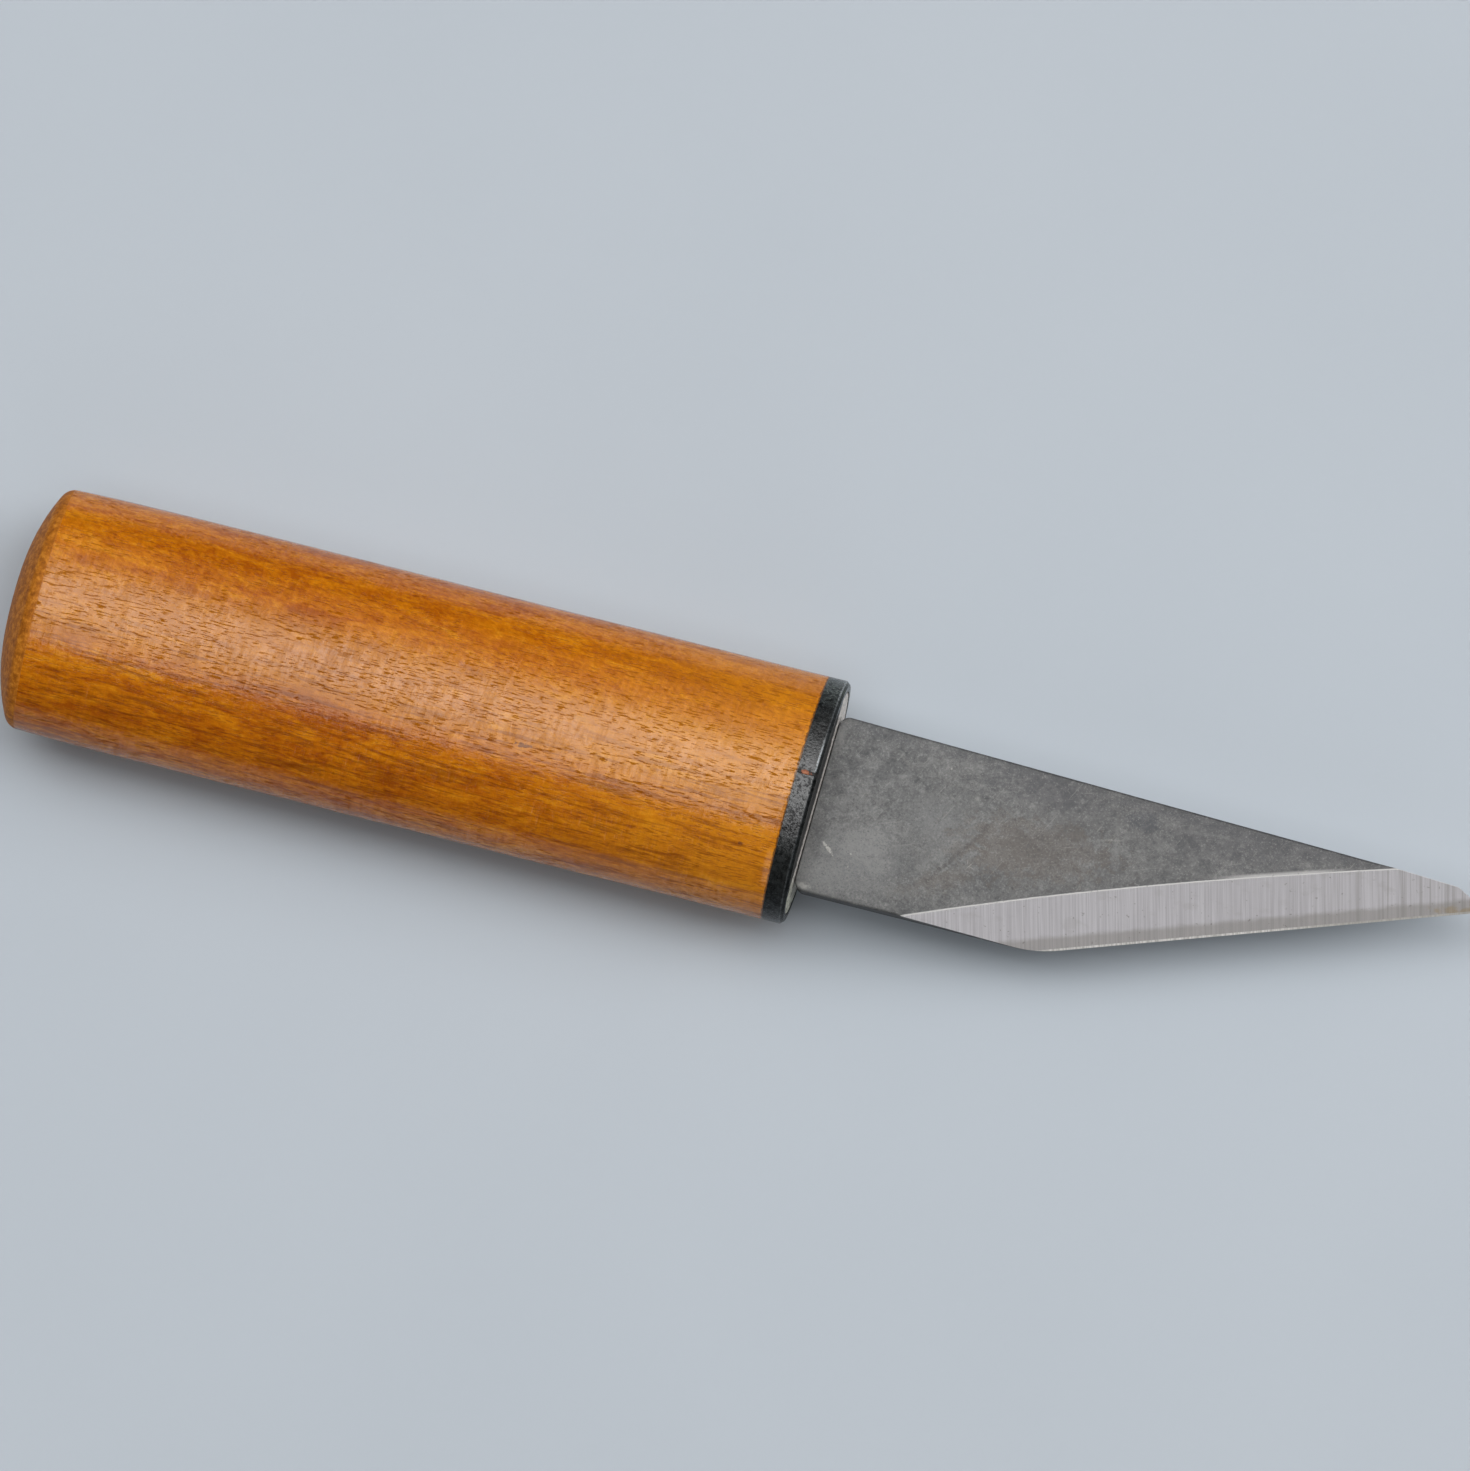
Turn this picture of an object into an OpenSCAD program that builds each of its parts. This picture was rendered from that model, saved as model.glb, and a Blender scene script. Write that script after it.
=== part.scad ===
// Marking knife: a single-bevel laminated blade in an oval wooden handle with a brazed steel ferrule.
// The blade points along +X, its spine faces +Y and its bevel faces up.
// The origin lies under the middle of the knife, on the surface that the handle rests on.

/* [Handle] */
// Length of the wooden handle
handle_len = 81.3; // [65:0.1:110]
// Width of the oval section
handle_w = 25.3; // [22:0.1:32]
// Thickness of the oval section
handle_t = 17.5; // [14:0.5:24]
// Width of the flat in the middle of the butt end
butt_flat_w = 6; // [3:0.5:10]
// Radius of the crown from that flat to the rim
butt_crown_r = 19; // [16:1:60]
// Radius of the rim between the butt end and the side
butt_rim_r = 1.6; // [0.6:0.1:2.5]
// Length over which the side draws in towards the butt
draw_in_len = 15; // [8:1:30]
// How far the side draws in at the butt
draw_in = 0.3; // [0.1:0.05:0.8]

/* [Ferrule] */
// Length of the ferrule along the knife
ferrule_len = 2.1; // [1.8:0.1:4]
// Wall of the ferrule ring
ferrule_wall = 1; // [0.7:0.1:1.6]
// Chamfer round the front edge of the ring
ferrule_chamfer = 0.3; // [0.2:0.1:0.6]
// Thickness of the slotted front plate
plate_t = 1.1; // [0.8:0.1:1.5]
// Width of the brazed joint in the ring
seam_w = 0.4; // [0.2:0.1:0.8]
// Distance of the brazed joint from the middle of the bevel side
seam_y = 1.7; // [-4:0.1:4]

/* [Blade] */
// Length of the blade in front of the ferrule
blade_len = 67.5; // [55:0.5:90]
// Width of the blade at the ferrule
blade_w = 18.2; // [15:0.1:19]
// Thickness of the blade along its middle
blade_t = 3; // [2.4:0.1:4]
// How much thinner the forged face is at the sides of the blade
crown_drop = 0.4; // [0.2:0.05:0.6]
// Distance from the ferrule to the heel, where the cutting edge starts
heel_x = 24.8; // [18:0.1:30]
// Angle at which the spine falls towards the tip, in degrees
spine_angle = 1.4; // [0:0.1:2]
// How far the tip lies below the line of the spine
tip_drop = 1.5; // [0.8:0.1:3]
// Length of the short cut between the spine and the tip
tip_cut_len = 3.2; // [1.5:0.1:4]
// Radius of the heel
heel_r = 14; // [5:0.5:20]
// Radius of the shoulder corners beside the ferrule
shoulder_r = 1; // [0.4:0.1:2]
// Angle of the main bevel to the flat back, in degrees
bevel_angle = 29.5; // [26:0.5:34]
// Angle of the honed micro-bevel to the flat back, in degrees
hone_angle = 38; // [35:0.5:45]
// Width of the honed micro-bevel
hone_w = 0.2; // [0.1:0.05:0.4]

/* [Steel layer and hollow back] */
// Thickness of the hard steel layer on the flat back
steel_t = 0.8; // [0.6:0.05:1.4]
// Depth of the hollow in the flat back
hollow_depth = 0.3; // [0.15:0.05:0.5]
// Width of the flat rim round the hollow
hollow_rim = 1.9; // [1.4:0.1:2.6]
// Distance from the ferrule to the hollow
hollow_start = 9; // [6:0.5:14]
// Radius of the corners of the hollow
hollow_corner_r = 3; // [1.5:0.1:3.5]

/* [Tang] */
// Length of the tang behind the ferrule's front face
tang_len = 52; // [40:1:58]
// Width of the tang at the ferrule
tang_w = 13; // [10:0.5:14]
// Width of the tang at its end
tang_end_w = 8; // [5:0.5:9]
// How far each face of the tang lies below the blade's face at the ferrule
tang_step = 0.3; // [0.2:0.05:0.4]
// Thickness of the tang at its end
tang_end_t = 1.8; // [1.2:0.1:1.8]
// Chamfer on the corners of the tang's end
tang_end_chamfer = 2; // [1:0.1:2.4]

/* [Fits] */
// Gap between the wooden spigot and the ring
spigot_gap = 0.05; // [0.03:0.01:0.2]
// Gap between the wooden spigot's end and the plate
seat_gap = 0.1; // [0.05:0.05:0.2]
// Gap between the plate and the ring, which the braze fills
braze_gap = 0.12; // [0.1:0.01:0.2]
// Gap between the tang and the plate's slot
slot_gap = 0.15; // [0.1:0.05:0.3]
// Gap between the blade's shoulders and the plate
shoulder_gap = 0.1; // [0.05:0.05:0.3]
// Thickness of the adhesive that beds the tang in the wood
bedding_t = 0.5; // [0.3:0.1:0.8]

/* [Hidden] */
// Facets of the wide cylinders that shape the blade's two faces
$fn = 720;
// Sides of every oval section
oval_sides = 72;
// Steps along the crown, the rim and the drawn-in side of the butt
crown_steps = 4;
rim_steps = 5;
side_steps = 4;
// Steps round each rounded corner of an outline
corner_steps = 6;
// How far a cut runs past the face that it leaves
overrun = 1;

// Places along the knife, measured from the ferrule's front face
wood_front = -ferrule_len;
butt_x = wood_front - handle_len;
spigot_front = -plate_t - seat_gap;
overall_len = handle_len + ferrule_len + blade_len;
mouth_x = overall_len / 2 - blade_len;

// The butt's half width follows three arcs, given as [place along the knife, half width]
draw_in_r = (draw_in_len * draw_in_len + draw_in * draw_in) / (2 * draw_in);
draw_in_centre = [butt_x + draw_in_len, handle_w / 2 - draw_in_r];
butt_crown_centre = [butt_x + butt_crown_r, butt_flat_w / 2];
rim_centre = circles_meet(
    butt_crown_centre, butt_crown_r - butt_rim_r,
    draw_in_centre, draw_in_r - butt_rim_r
);
crown_turn = turn_of(rim_centre - butt_crown_centre);
side_turn = turn_of(rim_centre - draw_in_centre);

// Insets from the handle's outside to the ferrule's bore and to what sits in it
spigot_inset = ferrule_wall + spigot_gap;
plate_inset = ferrule_wall + braze_gap;

// Heights in the blade and the tang, measured from the knife's middle plane
blade_top = blade_t / 2;
blade_back = -blade_t / 2;
tang_t = blade_t - 2 * tang_step;
tang_root_x = shoulder_gap + shoulder_r;

// The forged face is part of a wide cylinder along the blade
crown_r = (blade_w * blade_w / 4 + crown_drop * crown_drop) / (2 * crown_drop);
hone_h = hone_w * tan(hone_angle);

// Corners of the blade's outline
low_y = -blade_w / 2;
cut_x = blade_len - tip_cut_len;
spine_root = [shoulder_gap, spine_y(shoulder_gap)];
spine_end = [cut_x, spine_y(cut_x)];
tip = [blade_len, spine_y(blade_len) - tip_drop];
heel = [heel_x, low_y];
low_root = [shoulder_gap, low_y];
edge_angle = atan2(tip[1] - low_y, blade_len - heel_x);

// Corners of the hollow, each on a line that runs beside an edge of the blade
hollow_low_y = low_y + hollow_rim;
hollow_edge_rise = hollow_rim / cos(edge_angle);
hollow_spine_drop = hollow_rim / cos(spine_angle);
hollow_front_x = heel_x + (hollow_rim - hollow_edge_rise) / tan(edge_angle);
hollow_tip_x = heel_x
    + (spine_y(heel_x) - low_y - hollow_spine_drop - hollow_edge_rise)
    / (tan(edge_angle) + tan(spine_angle));
hollow_top_y = spine_y(hollow_start) - hollow_spine_drop;
hollow_low_back = [hollow_start, hollow_low_y];
hollow_low_front = [hollow_front_x, hollow_low_y];
hollow_tip = [hollow_tip_x, spine_y(hollow_tip_x) - hollow_spine_drop];
hollow_top_back = [hollow_start, hollow_top_y];

// The grinding wheel that leaves the hollow runs along the blade
wheel_y = (hollow_top_y + hollow_low_y) / 2;
wheel_half = (hollow_top_y - hollow_low_y) / 2;
wheel_r = (wheel_half * wheel_half + hollow_depth * hollow_depth) / (2 * hollow_depth);

// Distance of the spine's line from the axis, at a place in front of the ferrule
function spine_y(x) = blade_w / 2 - x * tan(spine_angle);

// Unit vector from one point to another
function towards(from, to) = (to - from) / norm(to - from);

// Where two circles cross, on the side nearer the butt
function circles_meet(c1, r1, c2, r2) =
    let (unit = towards(c1, c2))
    let (apart = norm(c2 - c1))
    let (along = (r1 * r1 - r2 * r2 + apart * apart) / (2 * apart))
    let (across = sqrt(r1 * r1 - along * along))
    c1 + along * unit + across * [unit[1], -unit[0]];

// Angle of a direction from straight back along the knife, turning outwards
function turn_of(direction) = atan2(direction[1], -direction[0]);

// Points of an arc that turns outwards from straight back, without its first point
function butt_arc(centre, r, from_turn, to_turn, steps) =
    [for (i = [1 : steps])
        let (turn = from_turn + (to_turn - from_turn) * i / steps)
        centre + r * [-cos(turn), sin(turn)]];

// Oval section with the given half width and half thickness
function oval(half_w, half_t) =
    [for (i = [0 : oval_sides - 1])
        let (turn = 360 * i / oval_sides)
        [half_w * cos(turn), half_t * sin(turn)]];

// Vector turned by an angle in its plane
function turned(v, turn) = [
    v[0] * cos(turn) - v[1] * sin(turn),
    v[0] * sin(turn) + v[1] * cos(turn)
];

// Points that round corner p of a counterclockwise outline between the straight edges from a and to b
function round_corner(a, p, b, r) =
    let (half = acos(towards(p, a) * towards(p, b)) / 2)
    let (centre = p + towards([0, 0], towards(p, a) + towards(p, b)) * r / sin(half))
    let (start = p + towards(p, a) * r / tan(half) - centre)
    [for (i = [0 : corner_steps]) centre + turned(start, (180 - 2 * half) * i / corner_steps)];

// Puts a piece that is drawn round the ferrule's mouth where the knife lies
module laid() {
    translate([mouth_x, 0, handle_t / 2])
        children();
}

// Oval bar between two places along the knife, set in from the handle's outside
module oval_bar(inset, from_x, to_x) {
    translate([from_x, 0, 0])
        rotate([90, 0, 90])
            linear_extrude(height = to_x - from_x)
                polygon(oval(handle_w / 2 - inset, handle_t / 2 - inset));
}

// Solid through oval rings, each [place along the knife, half width, half thickness]
module oval_loft(rings) {
    last = len(rings) - 1;
    polyhedron(
        points = [for (ring = rings) for (p = oval(ring[1], ring[2])) [ring[0], p[0], p[1]]],
        faces = concat(
            [[for (i = [0 : oval_sides - 1]) i]],
            [for (k = [0 : last - 1]) for (i = [0 : oval_sides - 1])
                let (next = (i + 1) % oval_sides)
                [
                    k * oval_sides + i,
                    (k + 1) * oval_sides + i,
                    (k + 1) * oval_sides + next,
                    k * oval_sides + next
                ]],
            [[for (i = [oval_sides - 1 : -1 : 0]) last * oval_sides + i]]
        )
    );
}

// Room in the wood for the tang and its adhesive, open at the spigot's front
module mortise() {
    end_x = -tang_len - bedding_t;
    half_w = tang_w / 2 + bedding_t;
    end_half_w = tang_end_w / 2 + bedding_t;
    half_t = tang_t / 2 + bedding_t;
    end_half_t = tang_end_t / 2 + bedding_t;
    intersection() {
        translate([0, 0, -half_t])
            linear_extrude(height = 2 * half_t)
                polygon([
                    [0, half_w],
                    [end_x + tang_end_chamfer, end_half_w],
                    [end_x, end_half_w - tang_end_chamfer],
                    [end_x, tang_end_chamfer - end_half_w],
                    [end_x + tang_end_chamfer, -end_half_w],
                    [0, -half_w]
                ]);
        rotate([90, 0, 0])
            translate([0, 0, -half_w])
                linear_extrude(height = 2 * half_w)
                    polygon([
                        [0, half_t],
                        [end_x, end_half_t],
                        [end_x, -end_half_t],
                        [0, -half_t]
                    ]);
    }
}

// Outline of the butt from its flat to the straight side, as [place, half width]
function butt_outline() = concat(
    [[butt_x, butt_flat_w / 2]],
    butt_arc(butt_crown_centre, butt_crown_r, 0, crown_turn, crown_steps),
    butt_arc(rim_centre, butt_rim_r, crown_turn, side_turn, rim_steps),
    butt_arc(draw_in_centre, draw_in_r, side_turn, 90, side_steps)
);

// Wooden handle with the spigot for the ferrule and the mortise for the tang
module handle() {
    spigot_half = [handle_w / 2 - spigot_inset, handle_t / 2 - spigot_inset];
    butt_rings = [for (p = butt_outline()) [p[0], p[1], p[1] * handle_t / handle_w]];
    color("#b5702c")
        laid()
            difference() {
                oval_loft(concat(butt_rings, [
                    [wood_front, handle_w / 2, handle_t / 2],
                    [wood_front, spigot_half[0], spigot_half[1]],
                    [spigot_front, spigot_half[0], spigot_half[1]]
                ]));
                mortise();
            }
}

// Outside of the whole ferrule, with its front edge chamfered
module ferrule_outside() {
    oval_loft([
        [wood_front, handle_w / 2, handle_t / 2],
        [-ferrule_chamfer, handle_w / 2, handle_t / 2],
        [0, handle_w / 2 - ferrule_chamfer, handle_t / 2 - ferrule_chamfer]
    ]);
}

// Slice through the bevel side of the ring where its two ends meet
module seam_slice() {
    translate([wood_front - overrun, seam_y - seam_w / 2, 0])
        cube([ferrule_len + 2 * overrun, seam_w, handle_t]);
}

// Steel strip bent to an oval ring, flush with the wood
module ferrule_ring() {
    color("#2b2b2d")
        laid()
            difference() {
                ferrule_outside();
                oval_bar(ferrule_wall, wood_front - overrun, overrun);
                seam_slice();
            }
}

// Front plate that closes the ring and lets the tang through its slot
module ferrule_plate() {
    slot_w = tang_w + 2 * slot_gap;
    slot_t = tang_t + 2 * slot_gap;
    color("#a9a49b")
        laid()
            difference() {
                oval_bar(plate_inset, -plate_t, 0);
                translate([-plate_t - overrun, -slot_w / 2, -slot_t / 2])
                    cube([plate_t + 2 * overrun, slot_w, slot_t]);
            }
}

// Braze that joins the ring's two ends and runs round the plate
module ferrule_braze() {
    color("#a8643c")
        laid()
            difference() {
                intersection() {
                    ferrule_outside();
                    union() {
                        seam_slice();
                        oval_bar(ferrule_wall, -plate_t, overrun);
                    }
                }
                oval_bar(plate_inset, -plate_t, overrun);
                oval_bar(ferrule_wall, wood_front - overrun, -plate_t);
            }
}

// Plan of the blade in front of the ferrule, with rounded heel and shoulders
module blade_plan() {
    polygon(concat(
        round_corner(low_root, heel, tip, heel_r),
        [tip, spine_end],
        round_corner(spine_end, spine_root, low_root, shoulder_r),
        round_corner(spine_root, low_root, heel, shoulder_r)
    ));
}

// Tang that tapers in width and thickness, and runs into the blade by one shoulder radius
module tang() {
    end_half_w = tang_end_w / 2;
    intersection() {
        translate([0, 0, -blade_t])
            linear_extrude(height = 2 * blade_t)
                polygon([
                    [tang_root_x, tang_w / 2],
                    [-tang_len + tang_end_chamfer, end_half_w],
                    [-tang_len, end_half_w - tang_end_chamfer],
                    [-tang_len, tang_end_chamfer - end_half_w],
                    [-tang_len + tang_end_chamfer, -end_half_w],
                    [tang_root_x, -tang_w / 2]
                ]);
        rotate([90, 0, 0])
            translate([0, 0, -tang_w])
                linear_extrude(height = 2 * tang_w)
                    polygon([
                        [tang_root_x, tang_t / 2],
                        [-tang_len, tang_end_t / 2],
                        [-tang_len, -tang_end_t / 2],
                        [tang_root_x, -tang_t / 2]
                    ]);
    }
}

// Wide cylinder along the knife, whose top is the crowned face of the forging
module under_crown() {
    translate([-tang_len - overrun, 0, blade_top - crown_r])
        rotate([0, 90, 0])
            cylinder(r = crown_r, h = tang_len + blade_len + 2 * overrun);
}

// Everything above a plane that rises from the cutting edge, at a distance in from it
module above_edge_plane(angle, in, up) {
    reach = 2 * blade_len;
    translate([heel_x, low_y, blade_back])
        rotate([0, 0, edge_angle])
            translate([0, in, up])
                rotate([angle, 0, 0])
                    translate([-reach, -reach, 0])
                        cube([2 * reach, 2 * reach, reach]);
}

// Slab of the blade's plan with the main bevel and the honed micro-bevel ground on it
module ground_slab(thickness) {
    difference() {
        translate([0, 0, blade_back])
            linear_extrude(height = thickness)
                blade_plan();
        above_edge_plane(bevel_angle, hone_w, hone_h);
        above_edge_plane(hone_angle, 0, 0);
    }
}

// Plan of the hollow in the flat back
module hollow_plan() {
    polygon(concat(
        [hollow_low_front, hollow_tip],
        round_corner(hollow_tip, hollow_top_back, hollow_low_back, hollow_corner_r),
        round_corner(hollow_top_back, hollow_low_back, hollow_low_front, hollow_corner_r)
    ));
}

// What the grinding wheel takes out of the flat back
module hollow() {
    intersection() {
        translate([0, 0, blade_back - overrun])
            linear_extrude(height = 2 * overrun)
                hollow_plan();
        translate([0, wheel_y, blade_back + hollow_depth - wheel_r])
            rotate([0, 90, 0])
                cylinder(r = wheel_r, h = blade_len);
    }
}

// Soft iron of the blade and the tang in one forging, cut back where the hard steel lies
module blade_body() {
    color("#5e6062")
        laid()
            difference() {
                intersection() {
                    union() {
                        ground_slab(blade_t + overrun);
                        tang();
                    }
                    under_crown();
                }
                translate([shoulder_gap, -blade_w, blade_back - overrun])
                    cube([2 * blade_len, 2 * blade_w, steel_t + overrun]);
            }
}

// Hard steel forge-welded under the iron, with a hollow-ground back
module cutting_steel() {
    color("#9c9894")
        laid()
            difference() {
                ground_slab(steel_t);
                hollow();
            }
}

// Adhesive that fills the mortise round the tang
module tang_bedding() {
    color("#6b4a2a")
        laid()
            difference() {
                intersection() {
                    mortise();
                    translate([-handle_len, -handle_w / 2, -handle_t / 2])
                        cube([handle_len + spigot_front, handle_w, handle_t]);
                }
                tang();
            }
}

handle();
ferrule_ring();
ferrule_plate();
ferrule_braze();
blade_body();
cutting_steel();
tang_bedding();
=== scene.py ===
from math import acos, atan2, ceil, copysign, cos, degrees, hypot, pi, radians, sin, sqrt, tan

import bmesh
import bpy
from mathutils import Matrix, Vector, noise


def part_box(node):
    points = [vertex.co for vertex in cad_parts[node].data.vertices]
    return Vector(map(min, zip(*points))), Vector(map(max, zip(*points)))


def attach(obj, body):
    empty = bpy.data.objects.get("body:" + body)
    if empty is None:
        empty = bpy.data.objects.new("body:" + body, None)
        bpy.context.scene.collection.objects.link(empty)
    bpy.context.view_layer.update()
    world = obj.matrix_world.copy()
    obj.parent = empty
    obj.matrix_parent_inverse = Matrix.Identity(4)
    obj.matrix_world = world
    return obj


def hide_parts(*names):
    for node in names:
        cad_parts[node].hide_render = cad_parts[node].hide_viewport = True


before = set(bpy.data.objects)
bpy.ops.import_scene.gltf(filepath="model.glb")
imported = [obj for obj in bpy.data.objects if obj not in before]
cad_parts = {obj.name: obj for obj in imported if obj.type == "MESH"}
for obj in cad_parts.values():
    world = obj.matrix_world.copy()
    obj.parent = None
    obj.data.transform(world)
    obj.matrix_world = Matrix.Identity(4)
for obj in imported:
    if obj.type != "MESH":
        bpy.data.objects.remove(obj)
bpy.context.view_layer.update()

# The marking knife lies bevel up on a pale floor. Lengths are in metres, and named angles are in degrees.
MM = 0.001

# Places that the CAD pieces give
BUTT_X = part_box("handle")[0].x
SPIGOT_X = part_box("handle")[1].x
HALF_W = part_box("handle")[1].y
HALF_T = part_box("handle")[1].z / 2
AXIS_Z = HALF_T
WOOD_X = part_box("ferrule_ring")[0].x
MOUTH_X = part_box("ferrule_ring")[1].x
PLATE_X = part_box("ferrule_plate")[0].x
PLATE_INSET = HALF_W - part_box("ferrule_plate")[1].y
TANG_END_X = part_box("blade_body")[0].x
SHOULDER_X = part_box("cutting_steel")[0].x
TIP_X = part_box("cutting_steel")[1].x
LOW_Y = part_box("cutting_steel")[0].y
SPINE_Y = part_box("cutting_steel")[1].y
BACK_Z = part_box("cutting_steel")[0].z
WELD_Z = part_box("cutting_steel")[1].z
TOP_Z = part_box("blade_body")[1].z
BEDDING_END_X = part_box("tang_bedding")[0].x

# Handle
BUTT_FLAT_W = 6 * MM
BUTT_CROWN_R = 19 * MM
BUTT_RIM_R = 1.6 * MM
DRAW_IN_LEN = 15 * MM
DRAW_IN = 0.3 * MM
HAND_WORK = 0.03 * MM
HAND_WORK_PITCH = 14 * MM
WOOD_EDGE_LEN = 0.05 * MM
WOOD_EDGE_DROP = 0.03 * MM
SPIGOT_PLAY = 0.05 * MM
HANDLE_STEPS = 60

# Ferrule
RING_WALL = 1 * MM
RING_CHAMFER = 0.3 * MM
RING_EDGE_R = 0.1 * MM
RING_STEPS = 240
SEAM_W = 0.4 * MM
SEAM_Y = 1.7 * MM
SEAM_STEP = 0.07 * MM
SEAM_STEP_LEN = 2.5 * MM
SEAM_PITCH = 0.35
SEAM_STEPS = 40
PLATE_EDGE = 0.06 * MM
SLOT_GAP = 0.15 * MM
SLOT_CORNER = 0.1 * MM
JOINT_SUNK = 0.06 * MM
BRAZE_DIP_ENDS = 0.02 * MM
BRAZE_DIP_MORE = 0.05 * MM
SKEW = 0.0227
SKEW_REACH = 10 * MM

# Blade
CROWN_DROP = 0.4 * MM
HEEL_FROM_MOUTH = 24.8 * MM
SPINE_ANGLE = 1.4
TIP_DROP = 1.5 * MM
TIP_CUT_LEN = 3.2 * MM
HEEL_R = 14 * MM
SHOULDER_R = 1 * MM
BEVEL_ANGLE = 29.5
HONE_ANGLE = 38
HONE_W = 0.2 * MM
BLADE_EDGE_R = 0.25 * MM
EDGE_RUN_OUT = 3 * MM
CUT_EDGE_R = 0.03 * MM
TANG_W = 13 * MM
TANG_END_W = 8 * MM
TANG_STEP = 0.3 * MM
TANG_T = TOP_Z - BACK_Z - 2 * TANG_STEP
TANG_END_T = 1.8 * MM
TANG_CHAMFER = 2 * MM
BEDDING_T = 0.5 * MM
WELD_WAVE = 0.1 * MM
WELD_WAVES_PER_MM = 0.11
# The noise stays within about 0.6 of zero, and this brings it to about one
NOISE_GAIN = 1.6
STATION_PITCH = 0.3 * MM
FINE_PITCH = 0.1 * MM
FINE_RUN = 1.5 * MM

# Hollow in the flat back
HOLLOW_DEPTH = 0.3 * MM
HOLLOW_RIM = 1.9 * MM
HOLLOW_FROM_MOUTH = 9 * MM
HOLLOW_END_LEN = 4 * MM

HEEL_X = MOUTH_X + HEEL_FROM_MOUTH
CUT_X = TIP_X - TIP_CUT_LEN
CROWN_R = (SPINE_Y * SPINE_Y + CROWN_DROP * CROWN_DROP) / (2 * CROWN_DROP)
BEVEL_RISE = tan(radians(BEVEL_ANGLE))
HONE_RISE = tan(radians(HONE_ANGLE))
HONE_H = HONE_W * HONE_RISE


def spine_line(x):
    """Line of the spine, before the shoulder and the tip are rounded or cut."""
    return -LOW_Y - (x - MOUTH_X) * tan(radians(SPINE_ANGLE))


TIP_Y = spine_line(TIP_X) - TIP_DROP
EDGE_ANGLE = degrees(atan2(TIP_Y - LOW_Y, TIP_X - HEEL_X))
EDGE_SLOPE = tan(radians(EDGE_ANGLE))
EDGE_COS = cos(radians(EDGE_ANGLE))
# The bevel's scratches are square to a line that lies a little flatter than the cutting edge
GRIND_ANGLE = EDGE_ANGLE - 5
HEEL_TANGENT = HEEL_R * tan(radians(EDGE_ANGLE / 2))

# Where looks come in; a pair has the distances for nothing and for full
WOOD_LOW_FADE = (-3 * MM, 4 * MM)
WOOD_HIGHLIGHT_Y = 0.5 * MM
WOOD_HIGHLIGHT_FADE = (5.5 * MM, 2 * MM)
WOOD_WARM_FADE = (-30 * MM, -3 * MM)
WOOD_END_FADE = (3.4 * MM, 3.15 * MM)
WOOD_GAP_SHADE_FADE = (-0.2 * MM, -0.1 * MM)
RING_REFLECTION_FADE = (-4 * MM, -1.5 * MM)
RING_LOW_FADE = (-4.5 * MM, -8 * MM)
RING_FRONT_FADE = (0.03 * MM, 0.1 * MM)
RING_GLINT_IN = 0.05 * MM
RING_GLINT_FADE = (0.12 * MM, 0.05 * MM)
PLATE_LOW_FADE = (-7.5 * MM, -9.5 * MM)
PLATE_BLACK_FADE = (2.9 * MM, 3.4 * MM)
SPINE_FADE = (-2 * MM, -0.4 * MM)
SPINE_TIP_FADE = (24 * MM, 46 * MM)
ROOT_SHADE_FADE = (0.2 * MM, 0.1 * MM)
FAR_HALF_FADE = (13 * MM, 24 * MM)
RIDGE_FADE = (-0.09 * MM, -0.04 * MM)
RIDGE_WIDE_FADE = (-0.28 * MM, -0.1 * MM)
WELD_FADE = (-0.2 * MM, 0.15 * MM)
BEVEL_TIP_FADE = (44 * MM, 60 * MM)
HONE_TIP_FADE = (46 * MM, 54 * MM)


def bevel_point():
    """Point on the plane of the main bevel."""
    return Vector((HEEL_X, LOW_Y + HONE_W / EDGE_COS, BACK_Z + HONE_H))


def bevel_normal():
    """Direction out of the main bevel."""
    edge, slope = radians(EDGE_ANGLE), radians(BEVEL_ANGLE)
    return Vector((sin(slope) * sin(edge), -sin(slope) * cos(edge), cos(slope)))


def skewed(point):
    """Leans the ferrule and the blade's root a little out of square; the lean fades out on both sides."""
    off = max(0, WOOD_X - point.x, point.x - MOUTH_X)
    share = max(0, 1 - off / SKEW_REACH)
    return point + Vector((SKEW * point.y * share * share * (3 - 2 * share), 0, 0))


# Mesh building

MERGE = 1e-7
BLADE_MERGE = 2e-7
HARD_ANGLE = 32
# The bevels meet at a small angle, and the line between them stays hard
BEVEL_HARD_ANGLE = 6
# A face whose normal rises less than this is a side of the blade
SIDE_RISE = 0.45
TOUCH = 0.001 * MM


def lerp(a, b, share):
    """Value at a share of the way from a to b."""
    return a + (b - a) * share


def clamp(value, low, high):
    """The value, kept between low and high."""
    return max(low, min(value, high))


def between(a, b, steps):
    """Evenly spaced values from a to b, with a and without b."""
    return [lerp(a, b, i / steps) for i in range(steps)]


def arc_turns(start, end, steps):
    """Evenly spaced angles from start to end in degrees, with both, given in radians."""
    return [radians(lerp(start, end, i / steps)) for i in range(steps + 1)]


def solve(f, low, high):
    """Where the rising function f crosses zero."""
    for _ in range(48):
        middle = (low + high) / 2
        if f(middle) < 0:
            low = middle
        else:
            high = middle
    return (low + high) / 2


def loft(loops, closed=False):
    """Points and faces of a skin through loops of equal length.

    It is capped at both ends, or closed from the last loop to the first.
    """
    row_len = len(loops[0])
    points = [p for loop in loops for p in loop]
    faces = []
    for i in range(len(loops) - (0 if closed else 1)):
        low, high = i * row_len, (i + 1) % len(loops) * row_len
        for k in range(row_len):
            side = (k + 1) % row_len
            faces.append((low + k, low + side, high + side, high + k))
    if not closed:
        faces.append(tuple(reversed(range(row_len))))
        faces.append(tuple(range(len(points) - row_len, len(points))))
    return points, faces


def new_object(name, data):
    """Object in the scene, made from its data."""
    made = bpy.data.objects.new(name, data)
    bpy.context.scene.collection.objects.link(made)
    return made


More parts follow.
